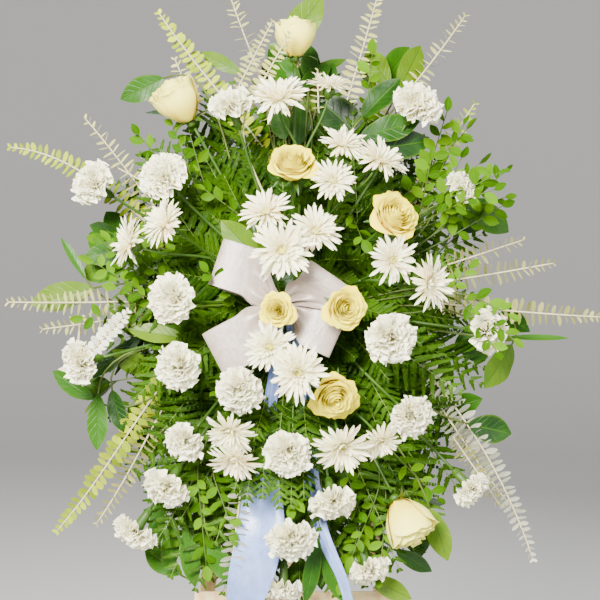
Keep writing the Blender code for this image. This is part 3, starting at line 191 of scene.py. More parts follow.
# Further sprigs of huckleberry: where each comes out of the fern, and its tip
HUCKLEBERRY_FILL = (
    (190, 120, 1272, 205, 150, 1346), (209, 110, 1268, 252, 130, 1353), (224, 110, 1253, 281, 120, 1315),
    (240, 100, 1239, 315, 110, 1283), (244, 100, 1266, 319, 110, 1335), (201, 100, 1328, 232, 120, 1426),
    (214, 90, 1320, 259, 110, 1409), (-209, 110, 1140, -301, 120, 1196), (-205, 110, 1155, -286, 120, 1224),
    (-215, 100, 1123, -317, 100, 1114), (-193, 120, 1136, -264, 140, 1155),
    (-190, 110, 1167, -244, 130, 1210), (-188, 100, 1187, -218, 110, 1237),
    (-155, 110, 1326, -188, 120, 1417), (-143, 110, 1338, -162, 120, 1407),
    (-85, 170, 1134, -123, 235, 1167), (121, 130, 844, 85, 150, 760), (136, 120, 829, 127, 130, 733),
    (101, 120, 812, 75, 130, 724), (-142, 130, 870, -129, 130, 745), (-117, 130, 870, -90, 150, 798),
    (76, 130, 885, 96, 160, 824), (158, 120, 900, 214, 110, 844), (-81, 130, 1266, -133, 140, 1303),
    (84, 130, 1274, 101, 170, 1223), (219, 120, 1139, 264, 120, 1187), (-65, 140, 1018, -105, 170, 998),
    (9, 150, 885, -3, 180, 834), (215, 150, 1280, 299, 190, 1318), (224, 150, 1295, 273, 185, 1334),
    (215, 150, 1265, 264, 195, 1284), (213, 140, 1275, 295, 180, 1296), (255, 150, 1136, 319, 190, 1075),
    (260, 160, 1117, 295, 195, 1055), (270, 150, 1139, 314, 180, 1112),
)
# Fronds that hang in front of the ribbon's tails: root and tip
HANGING_FRONDS = (
    (-30, 100, 1030, -58, 196, 925), (-12, 100, 1030, -26, 200, 880), (10, 100, 1030, 20, 194, 915),
    (-20, 100, 1030, -58, 184, 862), (0, 100, 1030, -4, 196, 830), (20, 100, 1030, 52, 186, 890),
    (-35, 100, 1040, -80, 176, 905), (-48, 110, 990, -69, 200, 835), (-39, 110, 990, -45, 206, 845),
    (-28, 110, 990, -20, 204, 830), (-58, 110, 982, -86, 196, 853), (9, 110, 990, 15, 200, 842),
)
# The tips of fronds that come out of the foam's lower end and fill the spray's foot
LOWER_FRONDS = (
    (-214, 100, 764), (-186, 80, 724), (-147, 100, 705), (-106, 110, 700), (-47, 100, 693), (9, 100, 693),
    (61, 110, 697), (105, 120, 712), (157, 110, 735), (218, 100, 774), (134, 140, 797), (-167, 140, 812),
    (-116, 140, 776), (38, 140, 797),
)
# Stations of the ribbon's tails: place, shown width, and turn in degrees about the upright
TAIL_LEFT = (
    (-18, 200, 1110, 8, 0), (-19, 184, 1093, 10, 0), (-24, 168, 1045, 18, 10), (-34, 160, 990, 20, 20),
    (-40, 152, 930, 26, 20), (-46, 144, 865, 52, 5), (-48, 142, 815, 69.4, 0), (-56, 152, 755, 69.6, -14),
    (-72, 170, 690, 69.6, -46), (-86, 184, 625, 69.6, -52),
)
TAIL_RIGHT = (
    (-8, 200, 1110, 8, 0), (-6.5, 184, 1093, 10, 0), (6, 168, 1045, 18, 0), (18, 152, 990, 20, 0),
    (20, 140, 930, 22, 0), (24, 124, 860, 28, 30), (41, 132, 800, 46, 70), (62, 152, 740, 60, 80),
    (80, 172, 680, 66, 78), (96, 186, 620, 68, 72),
)


def point(across, out, up):
    """A place in the spray, in metres, as a point of the front frame."""
    return np.array((across, -out, up), float)


def place(across, out, up):
    """A place in the spray, in millimetres, as a point of the front frame."""
    return point(across, out, up) / 1000


def ends(row):
    """The two places that start a row of a table."""
    return place(*row[:3]), place(*row[3:6])


def in_world(points):
    """Points of the front frame, turned with its lean and moved to where it stands."""
    return points @ LEANING.T + FRAME_PLACE


def unit(vectors):
    """Vectors divided by their lengths."""
    return vectors / np.linalg.norm(vectors, axis=-1, keepdims=True)


def square_to(axis, vectors):
    """Vectors less their share along an axis, divided by their lengths."""
    return unit(vectors - axis * np.sum(axis * vectors, axis=-1, keepdims=True))


def smooth(t):
    """3t² - 2t³ between 0 and 1, and flat outside."""
    t = np.clip(t, 0, 1)
    return t * t * (3 - 2 * t)


# Drawing surfaces

def column(values):
    """Numbers for blades, shaped to spread over the rows and columns of each."""
    return np.asarray(values, float)[:, None, None]


def lengthwise(rows):
    """v, from 0 at a blade's foot to 1 at its tip, shaped for (blades, rows, columns)."""
    return np.linspace(0, 1, rows)[None, :, None]


def crosswise(columns):
    """u, from -1 at a blade's one side to 1 at its other, shaped for (blades, rows, columns)."""
    return np.linspace(-1, 1, columns)[None, None, :]


def ring(count):
    """Equal turns round a ring."""
    return np.arange(count) * math.tau / count


class Surface:
    """Grids of points gathered into one mesh. Each grid has a UV map, u across and v along it, a tint for
    each blade, and one of the mesh's finishes. Its random draws are seeded by a name."""

    def __init__(self, seed):
        self.rng = np.random.default_rng([ord(letter) for letter in seed])
        self.parts = []
        self.count = 0

    def draw(self, low, high, count):
        """A random number between two for each blade."""
        return column(self.rng.uniform(low, high, count))

    def add(self, grids, finish=BLADE, tint=0.5, closed=False, corners=None):
        """Adds grids of shape (grids, rows, columns, 3). A closed grid joins its last column to its
        first. A grid's map runs across and along it, unless the map's corners are given for grids of two
        rows and columns."""
        number, rows, columns = grids.shape[:3]
        index = np.arange(number * rows * columns).reshape(number, rows, columns) + self.count
        self.count += index.size
        if closed:
            index = np.concatenate((index, index[:, :, :1]), axis=2)
        around = (index[:, :-1, :-1], index[:, :-1, 1:], index[:, 1:, 1:], index[:, 1:, :-1])
        quads = np.stack(around, axis=-1).reshape(-1, 4)
        uv = np.stack(np.meshgrid(np.linspace(0, 1, columns), np.linspace(0, 1, rows)), axis=-1)
        if corners is not None:
            uv = np.array(corners, float)
        tints = np.broadcast_to(np.reshape(tint, (-1, 1, 1)), (number, rows, columns))
        self.parts.append((grids.reshape(-1, 3), quads, np.tile(uv.reshape(-1, 2), (number, 1)),
                           tints.ravel(), np.full(len(quads), finish)))

    def piece(self, name, finishes, slot, *replaced):
        """The finished object, riding on the front frame, with its finishes. Its slot is not used."""
        points, quads, uvs, tints, choices = (np.concatenate(part) for part in zip(*self.parts))
        mesh = bpy.data.meshes.new(name)
        mesh.vertices.add(len(points))
        mesh.vertices.foreach_set("co", in_world(points).ravel())
        mesh.loops.add(quads.size)
        mesh.loops.foreach_set("vertex_index", quads.ravel())
        mesh.polygons.add(len(quads))
        mesh.polygons.foreach_set("loop_start", np.arange(0, quads.size, 4))
        mesh.polygons.foreach_set("material_index", choices)
        mesh.update(calc_edges=True)
        mesh.shade_smooth()
        mesh.uv_layers.new(name="UVMap").data.foreach_set("uv", uvs[quads.ravel()].ravel())
        mesh.attributes.new("tint", "FLOAT", "POINT").data.foreach_set("value", tints)
        for finish in finishes:
            mesh.materials.append(finish)
        made = bpy.data.objects.new(name, mesh)
        bpy.context.scene.collection.objects.link(made)
        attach(made, "front_frame")
        if replaced:
            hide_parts(*replaced)
        return made


def curve(start, leaving, end, arriving, steps):
    """A cubic curve: s³·start + 3s²t·a + 3st²·b + t³·end, s = 1 - t, whose middle points a and b lie
    along its first and last directions, 0.35 of its span from its ends."""
    reach = np.linalg.norm(end - start) * 0.35
    t = np.linspace(0, 1, steps)[:, None]
    s = 1 - t
    near = start + unit(leaving) * reach
    far = end - unit(arriving) * reach
    return start * s ** 3 + near * 3 * s * s * t + far * 3 * s * t * t + end * t ** 3


def step_lengths(path):
    """The lengths of a path's steps."""
    return np.linalg.norm(np.diff(path, axis=0), axis=1)


def path_frames(path):
    """Unit vectors at each point of a path: along it, and two across it that stay square to one another."""
    along = unit(np.gradient(path, axis=0))
    guide = np.eye(3)[np.argmin(np.abs(path[-1] - path[0]))]
    first = unit(np.cross(along, guide))
    return along, first, np.cross(along, first)


def along_path(path, shares):
    """Places and directions at shares of a path's length."""
    run = np.concatenate(((0,), np.cumsum(step_lengths(path))))
    run /= run[-1]
    frames = (path, path_frames(path)[0])
    return [np.stack([np.interp(shares, run, part[:, k]) for k in range(3)], axis=-1) for part in frames]


def tube(path, thick, thin, sides):
    """A round stem: each point of the path carries a circle, whose radius goes evenly from thick to thin,
    and both ends close to a point."""
    first, second = (np.concatenate((v[:1], v, v[-1:])) for v in path_frames(path)[1:])
    radii = np.linspace(thick, thin, len(path))
    radii = np.concatenate(((thick * 0.02,), radii, (radii[-1] * 0.02,)))
    path = np.concatenate((path[:1], path, path[-1:]))
    angles = ring(sides)[:, None]
    circle = first[:, None] * np.cos(angles) + second[:, None] * np.sin(angles)
    return (path[:, None] + circle * radii[:, None, None])[None]


def turned(radii, heights, sides, teeth=0.0):
    """A form turned about +Z: at each height a circle of its radius. teeth points the last two rows."""
    angles = ring(sides)
    radii = np.asarray(radii, float)[:, None]
    rise = np.zeros((len(radii), sides))
    rise[-2:] += teeth * (np.arange(sides) % 2)
    z = np.asarray(heights, float)[:, None] + rise
    return np.stack((radii * np.cos(angles), radii * np.sin(angles), z), axis=-1)[None]


def stood(points, at, axis):
    """Points drawn about +Z, stood up along an axis and moved to a place."""
    upright = unit(axis)
    first = unit(np.cross(np.eye(3)[np.argmin(np.abs(upright))], upright))
    return points @ np.array((first, np.cross(upright, first), upright)) + at


def petals(turn, root, rise, length, tilt, half, hollow, wave=0.0, rim=0.0, columns=5):
    """Petals about +Z. The middle line of each leans `tilt` degrees from upright and is summed step by step;
    a point lies half·u beside it, hollow·half·u² + wave inwards, and rim further along it."""
    u = crosswise(columns)[0]
    angle = np.radians(tilt)
    between = (angle[:, 1:] + angle[:, :-1]) / 2
    step = length / (tilt.shape[1] - 1)
    none = np.zeros_like(angle[:, :1])
    away = root + np.concatenate((none, np.cumsum(np.sin(between) * step, axis=1)), axis=1)
    up = rise + np.concatenate((none, np.cumsum(np.cos(between) * step, axis=1)), axis=1)
    inwards = hollow * half * u ** 2 + wave
    side = half * u
    away = away + rim * np.sin(angle) - inwards * np.cos(angle)
    up = up + rim * np.cos(angle) + inwards * np.sin(angle)
    x = away * np.cos(turn) - side * np.sin(turn)
    y = away * np.sin(turn) + side * np.cos(turn)
    return np.stack(np.broadcast_arrays(x, y, up), axis=-1)


def leaves(base, axis, face, length, half, outline, fold, droop, ripple=0.0, columns=5, phase=0.0):
    """Leaves: a point lies length·v along its leaf's axis and half·outline(v)·u beside it. The margins
    rise by fold·|u|, the length bends back by droop·v², and the margins ripple along it."""
    v, u = lengthwise(len(outline)), crosswise(columns)
    numbers = (length, half, fold, droop, phase)
    length, half, fold, droop, phase = (np.reshape(value, (-1, 1, 1)) for value in numbers)
    width = half * outline[None, :, None]
    axis = unit(axis)
    side = unit(np.cross(axis, face))
    wave = ripple * width * np.abs(u) ** 1.5 * np.sin(math.tau * 2.3 * v + phase + u)
    lift = fold * width * np.abs(u) - droop * length * v * v + wave
    parts = ((axis, length * v + 0 * u), (side, width * u), (np.cross(side, axis), lift))
    return base[:, None, None] + sum(way[:, None, None] * size[..., None] for way, size in parts)


def pointed(rows, shoulder, tip):
    """A pointed leaf's outline on a short stalk: v^shoulder·(1 - v^tip), scaled to a greatest width of 1."""
    v = np.linspace(0, 1, rows)
    outline = v ** shoulder * (1 - v ** tip)
    return np.maximum(outline / outline.max(), 0.035)


# Heads and stems

STEM_STEPS = 14
# A stem starts at a share of the way to the foam's face, which counts as no further off than most of the way
# to what the stem carries
SUNK_SHARE = 0.93
MOST_OF_WAY = 0.9
# How far behind a head's middle its stem ends: fixed, or in radii of the head with a little more
CARNATION_DEPTH = 0.038
MUM_DEPTH = 0.014
ROSE_DEPTH = 1.35
BUD_DEPTH = 1.75
HIP_DEPTH = 0.002
# Petal rings of a carnation, from the rim inwards: how many, their tilt at the rim, and length in radii
CARNATION_RINGS = ((9, 100, 1.17), (9, 85, 1.16), (8, 67, 1.14), (8, 49, 1.11), (7, 30, 1.06), (5, 14, 1.00),
                   (3, 4, 0.96))
CARNATION_ROOT = -0.011
# Petal rings of a chrysanthemum, from below: how many, tilt at the tip, length and half width in radii
MUM_RINGS = ((21, 106, 1.04, 0.078), (20, 90, 1.02, 0.078), (18, 73, 0.96, 0.077), (15, 57, 0.84, 0.074),
             (12, 40, 0.68, 0.070), (9, 22, 0.48, 0.060), (6, 8, 0.34, 0.050))
FLORETS = 46


def facing(at, turn):
    """Which way a head looks: out from the foam's middle, turned part of the way to the viewer."""
    return unit(unit(at - FOAM_MIDDLE) * (1 - turn) + TOWARDS_VIEWER * turn)


def foam_side(at):
    """Where a straight line to a place leaves the foam, from a little below its face."""
    way = at - FOAM_MIDDLE
    share = np.min(FOAM_HALF / np.maximum(np.abs(way), 1e-6))
    return FOAM_MIDDLE + way * min(share, MOST_OF_WAY) * SUNK_SHARE


def stem(surface, start, leaving, end, arriving, radius):
    """A stem that thins a little along its curve."""
    path = curve(start, leaving, end, arriving, STEM_STEPS)
    surface.add(tube(path, radius * 1.08, radius * 0.92, 8), STEM, closed=True)


def stem_from_foam(surface, at, axis, depth):
    """The stem of a flower, from the foam to a depth behind its head."""
    start = foam_side(at)
    foot = at - axis * depth
    stem(surface, start, foot - start, foot, axis, STEM_RADIUS)


def carnation_head(surface, at, axis, radius, frill):
    """Frilled petals in rings over a green calyx. A petal fans out as 0.05 + 0.60·v^1.2 of the radius;
    its rim waves as v^2.2 and v³ times two sines of u and is cut in teeth."""
    draw = surface.draw
    columns = 17
    v, u = lengthwise(8), crosswise(columns)
    teeth = np.where(np.arange(columns) % 2, 1.0, -1.0)
    for count, tilt, reach in CARNATION_RINGS:
        turn = column(ring(count)) + draw(-0.22, 0.22, count) + tilt
        rim_tilt = tilt + draw(-9, 9, count)
        lean = 10 + (rim_tilt - 10) * smooth(v / 0.62) + draw(-22, 26, count) * v ** 4
        half = radius * (0.05 + 0.60 * v ** 1.2) * draw(0.80, 1.20, count)
        phase = draw(0, math.tau, count)
        wave = frill * v ** 2.2 * np.sin(math.tau * draw(0.8, 1.4, count) * u * 0.9 + phase)
        wave = wave + 0.26 * frill * v ** 3 * np.sin(math.tau * 2.1 * u + phase * 3)
        cut = 0.016 * radius * v ** 6 * teeth - 0.10 * radius * v * u ** 2
        length = radius * reach * draw(0.84, 1.10, count)
        blades = petals(turn, 0.0025, CARNATION_ROOT, length, lean, half, 0.10, wave, cut, columns)
        surface.add(stood(blades, at, axis), BLADE, surface.rng.uniform(0, 1, count))
    calyx = turned((0.0022, 0.0046, 0.0060, 0.0066, 0.0072, 0.0088, 0.0094),
                   (-0.0385, -0.0370, -0.0330, -0.0240, -0.0140, -0.0085, -0.0050), 10, 0.0030)
    surface.add(stood(calyx, at, axis), STEM, closed=True)
    around = column(ring(4))
    v = lengthwise(4)
    half = 0.0038 * (1 - 0.9 * v ** 2)
    scales = petals(around, 0.0046, -0.0375, 0.009, 14 + 22 * v + 0 * around, half, 0.4, columns=4)
    surface.add(stood(scales, at, axis), STEM, 0.3)


def rose_head(surface, at, axis, radius, count, half_open):
    """Petals wrapped about the axis in golden turns, from a tight middle outwards. A petal is a sector of
    a cup: its radius grows as sin(v^0.8·π/2) to its rim, which rolls back the more the further out it
    stands."""
    draw = surface.draw
    v, u = lengthwise(13), crosswise(15)
    order = np.linspace(0, 1, count)
    s = column(order)
    turn = column(np.arange(count) * GOLDEN_TURN) + draw(-0.25, 0.25, count)
    if half_open:
        depth, mouth, top = BUD_DEPTH, 0.08 + 0.80 * s ** 0.9, 0.30 - 0.16 * s
        roll = 0.03 + 0.16 * s ** 2
    else:
        depth, mouth, top = ROSE_DEPTH, 0.07 + 0.88 * s ** 0.8, 0.34 - 0.40 * s ** 1.3
        roll = 0.03 + 0.30 * s ** 1.8
    bottom = -radius * depth * 0.86
    top = radius * top + draw(-0.05, 0.05, count) * radius
    roll = roll * draw(0.7, 1.25, count)
    wrap = np.radians(162 - 98 * s ** 0.55)
    spread = (0.42 + 0.58 * np.sin(np.minimum(v / 0.5, 1) * math.pi / 2)) * (1 - 0.42 * v ** 7)
    reach = v * (1 - 0.10 * np.abs(u) ** 3)
    foot = radius * (0.10 + 0.08 * s)
    away = foot + (mouth * radius - foot) * np.sin(np.minimum(reach ** 0.8, 1) * math.pi / 2)
    if half_open:
        away = away * (1 + 0.17 * s * np.sin(math.pi * np.clip(reach, 0, 1)) - 0.05 * reach ** 3)
    bend = roll * radius * np.clip((reach - 0.70) / 0.30, 0, 1) ** 2
    ripple = radius * 0.022 * (0.4 + s) * reach ** 4 * np.sin(3.1 * u * math.pi + draw(0, math.tau, count))
    away = (away + bend * (1 - 0.3 * np.abs(u)) + ripple) * (1 + 0.055 * u * s)
    rise = bottom + (top - bottom) * reach - bend * 1.05 * (1 - 0.2 * np.abs(u)) + ripple * 0.6
    tip = radius * 0.05 * s * reach ** 6 * np.exp(-(u / 0.22) ** 2)
    angle = turn + u * wrap * spread
    grid = ((away + tip) * np.cos(angle), (away + tip) * np.sin(angle), rise - tip * 0.4)
    blades = np.stack(np.broadcast_arrays(*grid), axis=-1)
    surface.add(stood(blades, at, axis), BLADE, order * 0.8 + surface.rng.uniform(0, 0.2, count))
    hip = turned(np.array((0.07, 0.17, 0.21, 0.20, 0.16)) * radius,
                 bottom + np.array((-0.20, -0.16, -0.08, 0.02, 0.08)) * radius, 12)
    surface.add(stood(hip, at, axis), STEM, closed=True)
    around = column(ring(5) + surface.rng.uniform(0, 1))
    v = lengthwise(7)
    half = radius * 0.17 * (1 - v ** 1.6 * 0.94)
    lean = 62 + 70 * v + 0 * around
    sepals = petals(around, 0.17 * radius, bottom - 0.02 * radius, 0.95 * radius, lean, half, 0.30)
    surface.add(stood(sepals, at, axis), STEM, 0.6)
    stem_from_foam(surface, at, axis, radius * depth + HIP_DEPTH)


def mum_head(surface, at, axis, radius):
    """Spoon petals in rings about a green-gold eye. A petal widens as 0.42 + 0.58·v^0.8 and rounds off
    over its last quarter; the eye is florets set in golden turns."""
    draw = surface.draw
    v = lengthwise(8)
    rounding = np.sqrt(1 - 0.985 * np.clip((v - 0.76) / 0.24, 0, 1) ** 2)
    for count, tilt, reach, width in MUM_RINGS:
        turn = column(ring(count)) + draw(-0.12, 0.12, count) + tilt * 3.7
        lean = 30 + (tilt + draw(-16, 16, count) - 30) * smooth(v / 0.5) - draw(2, 26, count) * v ** 3
        half = radius * width * (0.42 + 0.58 * v ** 0.8) * rounding * draw(0.85, 1.12, count)
        length = radius * reach * draw(0.68, 1.16, count)
        blades = petals(turn, 0.07 * radius, 0.002, length, lean, half, 0.50)
        surface.add(stood(blades, at, axis), BLADE, surface.rng.uniform(0, 1, count))
    number = np.arange(FLORETS)
    v = lengthwise(4)
    out = column(np.sqrt((number + 0.5) / FLORETS))
    florets = petals(column(number * GOLDEN_TURN), 0.17 * radius * out, 0.004 + 0.05 * radius * (1 - out),
                     radius * (0.11 + 0.05 * out), 2 + 26 * out - 30 * v * out,
                     radius * 0.030 * (1 - 0.5 * v ** 2), 0.6, columns=3)
    surface.add(stood(florets, at, axis), EYE, surface.rng.uniform(0, 1, FLORETS))
    dome = turned(np.array((0.22, 0.20, 0.15, 0.08, 0.01)) * radius,
                  0.004 + np.array((0.0, 0.05, 0.09, 0.12, 0.13)) * radius, 12)
    surface.add(stood(dome, at, axis), EYE, 0.3, closed=True)
    cup = turned((0.0020, 0.0050, 0.0085, 0.0100, 0.0080), (-0.0142, -0.0115, -0.0065, -0.0010, 0.0022), 12)
    surface.add(stood(cup, at, axis), STEM, closed=True)


# Foliage

# Each kind of leaf: its length, width, outline and columns
LEMON_LENGTH = 0.078
LEMON_LEAF = (LEMON_LENGTH, 0.044, pointed(13, 0.60, 2.6), 7)
HUCKLEBERRY_LEAF = (0.025, 0.0140, pointed(8, 0.72, 1.9), 5)
EUCALYPTUS_OUTLINE = np.sin(math.pi * np.linspace(0.03, 0.97, 6)) ** 0.62
EUCALYPTUS_LENGTH = 0.0205
# How far apart the leaves stand along their stems, and in sprigs of eucalyptus as a share of a leaf's length
EUCALYPTUS_PITCH = 0.0098
EUCALYPTUS_CROWDING = 0.52
LEMON_PITCH = 0.052
HUCKLEBERRY_PITCH = 0.012
HUCKLEBERRY_FILL_PITCH = 0.0105
# The share of a stem from the foam that bears no leaves
BARE_STEM = 0.30
BARE_LEMON_STEM = 0.45
# How near a stem must pass for a twig to branch off it
BRANCH_REACH = 0.10
LEAFY_STEPS = 26
TWIG_STEPS = 12
FROND_STEPS = 24
EUCALYPTUS_SAG = 0.02
# A lemon leaf stem ends short of its tip by a share of a leaf
LEMON_SHORT = 0.85
# The radii of a stalk or rib at its foot and at its tip
EUCALYPTUS_STALK = (0.0021, 0.0010)
FROND_RIB = (0.0014, 0.0006)
HUCKLEBERRY_STALK = 0.0012
HUCKLEBERRY_FILL_STALK = 0.0011
FROND_LENGTH = 0.24
LOWER_FROND_LENGTH = 0.26
HANGING_FROND_LENGTH = 0.13
LOWER_ROOT_UP = 1.030
# A leaflet's half width in shares of its length, and where its four points lie on its map
LEAFLET_HALF = 0.46
LEAFLET_MAP = ((0.5, 0), (0, 0.45), (1, 0.45), (0.5, 1))
# The bed of fern: half its width and height about its middle, and how square the corners of its outline are
OUTLINE = np.array((0.300, 0.405))
ROUNDNESS = 2.4
BED_UP = 1.105
# Where fronds leave the foam's front: shares of the outline across and up, and how far out between them
FRONT_ROOT = (0.11, 0.0985, 0.20)
# Ranks of fern from the back: how far out their tips reach, their share of the outline, their length, how
# crowded they are, and whether they come out of the foam's front
FERN_RANKS = (
    ((0.006, 0.030), (0.90, 1.04), 0.26, 1.4, False), ((0.025, 0.060), (0.74, 0.94), 0.26, 1.2, False),
    ((0.060, 0.100), (0.60, 0.82), 0.25, 1.1, False), ((0.100, 0.145), (0.40, 0.66), 0.22, 0.9, False),
    ((0.138, 0.176), (0.12, 0.42), 0.16, 0.8, True), ((0.120, 0.150), (0.02, 0.14), 0.10, 0.4, True),
)


def stem_curve(root, tip, sag=0.0, arriving=None):
    """A leafy stem's path from the foam: it leaves on the side where it is rooted and bends towards its
    tip, or so that it ends in a given way."""
    way = root - FOAM_MIDDLE
    side = np.zeros(3)
    axis = int(np.argmax(np.abs(way) / FOAM_HALF))
    side[axis] = math.copysign(1, way[axis])
    arriving = tip - root if arriving is None else np.array(arriving)
    path = curve(root - side * 0.02, unit(side + unit(tip - root)), tip, arriving, LEAFY_STEPS)
    t = np.linspace(0, 1, len(path))[:, None]
    return path + np.array((0, 0, -sag)) * np.sin(math.pi * t) * np.linalg.norm(tip - root)


def sprig_path(base, tip, stems=None):
    """A sprig's path: a bare twig to its base, then its leafy part; and the twig's share of it. The twig
    branches off the nearest point of the stems within reach, or else comes from the foam."""
    root = foam_side(base)
    if stems is not None:
        gaps = np.linalg.norm(stems - base, axis=1)
        if gaps.min() < BRANCH_REACH:
            root = stems[np.argmin(gaps)]
    twig = curve(root, base - root, base, tip - base, TWIG_STEPS)
    path = np.concatenate((twig, curve(base, tip - base, tip, tip - base, TWIG_STEPS)[1:]))
    lengths = step_lengths(path)
    return path, lengths[:TWIG_STEPS - 1].sum() / lengths.sum()


def eucalyptus_stem(surface, path, start, openness, finish, leaf=EUCALYPTUS_LENGTH, pitch=EUCALYPTUS_PITCH):
    """Opposite pairs of oval leaves threaded on a stem. Each pair is turned a little from the last, and a
    leaf tips towards the viewer by its openness, from 0, edge on, to 1, full face."""
    rng = surface.rng
    pairs = max(6, int(step_lengths(path).sum() * (1 - start) / pitch))
    t = np.linspace(0, 1, pairs)
    at, along = along_path(path, np.repeat(start + (1 - start) * (t + 0.10 * t * (1 - t)), 2))
    front = square_to(along, TOWARDS_VIEWER)
    t = np.repeat(t, 2)
    swing = np.where(np.arange(pairs) % 2, 0.30, -0.24) + rng.uniform(-0.20, 0.20, pairs)
    turn = (np.repeat(swing, 2) + np.tile((0.0, math.pi), pairs))[:, None]
    out = np.cross(along, front) * np.cos(turn) + front * np.sin(turn)
    rise = np.radians(rng.uniform(2, 16, len(t)) + 34 * t ** 4)[:, None]
    tip_up = np.arcsin(np.clip(openness + rng.normal(0, 0.08, len(t)), 0.02, 0.98))[:, None]
    axis = unit(out * np.cos(rise) + along * np.sin(rise))
    face = unit(along * np.cos(tip_up) + front * np.sin(tip_up))
    size = leaf * rng.uniform(0.88, 1.12, len(t)) * (1 - 0.60 * t ** 4) * np.minimum(1, 0.7 + 3 * t)
    blades = leaves(at, axis, face, size, size * rng.uniform(0.33, 0.42, len(t)), EUCALYPTUS_OUTLINE, 0.10,
                    rng.uniform(-0.10, 0.16, len(t)), columns=4)
    surface.add(blades, finish, rng.uniform(0, 1, len(t)))
    surface.add(tube(path, *EUCALYPTUS_STALK, 6), STEM, closed=True)


def broad_stem(surface, path, start, pitch, leaf, stalk=0.0016, spread=0.5):
    """Broad leaves in turn on either side of a stem and one at its tip, facing the viewer more or less."""
    length, width, outline, columns = leaf
    rng = surface.rng
    pairs = max(3, int(step_lengths(path).sum() * (1 - start) / pitch))
    count = pairs + 1
    at, along = along_path(path, np.concatenate((np.linspace(start, 0.95, pairs), (1.0,))))
    front = square_to(along, TOWARDS_VIEWER)
    across = np.cross(along, front) * np.where(np.arange(count) % 2, 1.0, -1.0)[:, None]
    angle = np.radians(52 + rng.uniform(-20, 20, count))
    angle[-1] = rng.uniform(-0.2, 0.2)
    lift = rng.normal(0, 0.30, count)[:, None]
    axis = unit(across * np.sin(angle)[:, None] + along * np.cos(angle)[:, None] + front * lift)
    face = square_to(axis, unit(front + rng.normal(0, spread, (count, 3))))
    size = length * rng.uniform(0.70, 1.12, count)
    blades = leaves(at, axis, face, size, width / 2 * size / length * rng.uniform(0.9, 1.1, count), outline,
                    0.16, rng.uniform(-0.4, 1.0, count) * 0.16, 0.05, columns,
                    rng.uniform(0, math.tau, count))
    surface.add(blades, BLADE, rng.uniform(0, 1, count))
    surface.add(tube(path, stalk * 1.3, stalk * 0.6, 6), STEM, closed=True)


def single_leaf(surface, base, tip, half, shade):
    """One lemon leaf from base to tip, facing the viewer more or less, on a stalk from the foam."""
    rng = surface.rng
    axis = tip - base
    face = unit(TOWARDS_VIEWER + rng.normal(0, 0.28, 3))
    blade = leaves(base[None], axis[None], face[None], np.linalg.norm(axis), half, LEMON_LEAF[2],
                   rng.uniform(0.10, 0.22), rng.uniform(-0.05, 0.14), 0.06, 9, rng.uniform(0, math.tau))
    surface.add(blade, BLADE, shade)
    start = foam_side(base)
    stem(surface, start, base - start, base, axis, TWIG_RADIUS)


def frond(surface, path, length, pinnae=15, leaflets=14, width=0.44, face=TOWARDS_VIEWER, lime=0.12):
    """A leatherleaf frond. Pinnae stand in pairs along the last part of its rib, each as long as its
    share of a triangle, and leaflets stand in pairs along each pinna. A leaflet is a diamond: its foot,
    two sides, its tip."""
    rng = surface.rng
    start = max(0.0, 1 - length / step_lengths(path).sum())
    t = np.repeat(np.linspace(0, 1, pinnae), 2)
    count = len(t)
    at, along = along_path(path, start + (0.985 - start) * t)
    front = square_to(along, face)
    across = np.cross(along, front) * np.tile((1.0, -1.0), pinnae)[:, None]
    reach = length * width * (1 - t) ** 0.85 * np.minimum(1, 0.72 + 1.6 * t) * rng.uniform(0.88, 1.08, count)
    reach = (reach + 0.006)[:, None]
    angle = np.radians(66 - 22 * t + rng.uniform(-6, 6, count))[:, None]
    pinna = unit(across * np.sin(angle) + along * np.cos(angle) + front * rng.normal(0.0, 0.16, (count, 1)))
    normal = square_to(pinna, unit(front + rng.normal(0, 0.22, (count, 3))))
    beside = np.cross(normal, pinna)[:, None]
    pinna = pinna[:, None]
    normal = normal[:, None]
    droop = rng.uniform(0.02, 0.20, count)[:, None] * reach

    s = np.repeat(np.linspace(0.07, 1.0, leaflets), 2)[None, :, None]
    flank = np.tile((1.0, -1.0), leaflets)[None, :, None]
    foot = at[:, None] + pinna * reach[..., None] * s - normal * droop[..., None] * s * s
    lean = np.radians(58 - 34 * s)
    ways = pinna * np.cos(lean) + beside * flank * np.sin(lean)
    ways = unit(ways + normal * rng.normal(0, 0.14, (count, 2 * leaflets, 1)))
    sizes = (0.0030 + 0.088 * reach) * (1 - 0.50 * s[..., 0] ** 1.5)
    sizes = (sizes * rng.uniform(0.85, 1.15, (count, 2 * leaflets)))[..., None]
    # Painted highlight: leaflets grow lighter towards the frond's tip, on top of the frond's random shade
    # and its lime share
    tint = rng.uniform(0.10, 0.55) + 0.25 * t[:, None] + lime
    tint = np.clip(tint + rng.uniform(-0.12, 0.12, (count, 2 * leaflets)), 0, 1)
    sideways = unit(np.cross(ways, np.broadcast_to(normal, ways.shape))) * (sizes * LEAFLET_HALF)
    waist = foot + ways * (sizes * 0.45)
    corners = (foot, waist - sideways, waist + sideways, foot + ways * sizes - normal * (sizes * 0.2))
    surface.add(np.stack(corners, axis=2).reshape(-1, 2, 2, 3), BLADE, tint.ravel(), corners=LEAFLET_MAP)
    share = np.linspace(0, 1, 4)
    spine = at[:, None] + pinna * (reach * share)[..., None] - normal * (droop * share ** 2)[..., None]
    thin = beside * (0.0006 * (1 - 0.7 * share))[None, :, None]
    surface.add(np.stack((spine + thin, spine - thin), axis=2), STEM)
    surface.add(tube(path, *FROND_RIB, 5), STEM, closed=True)


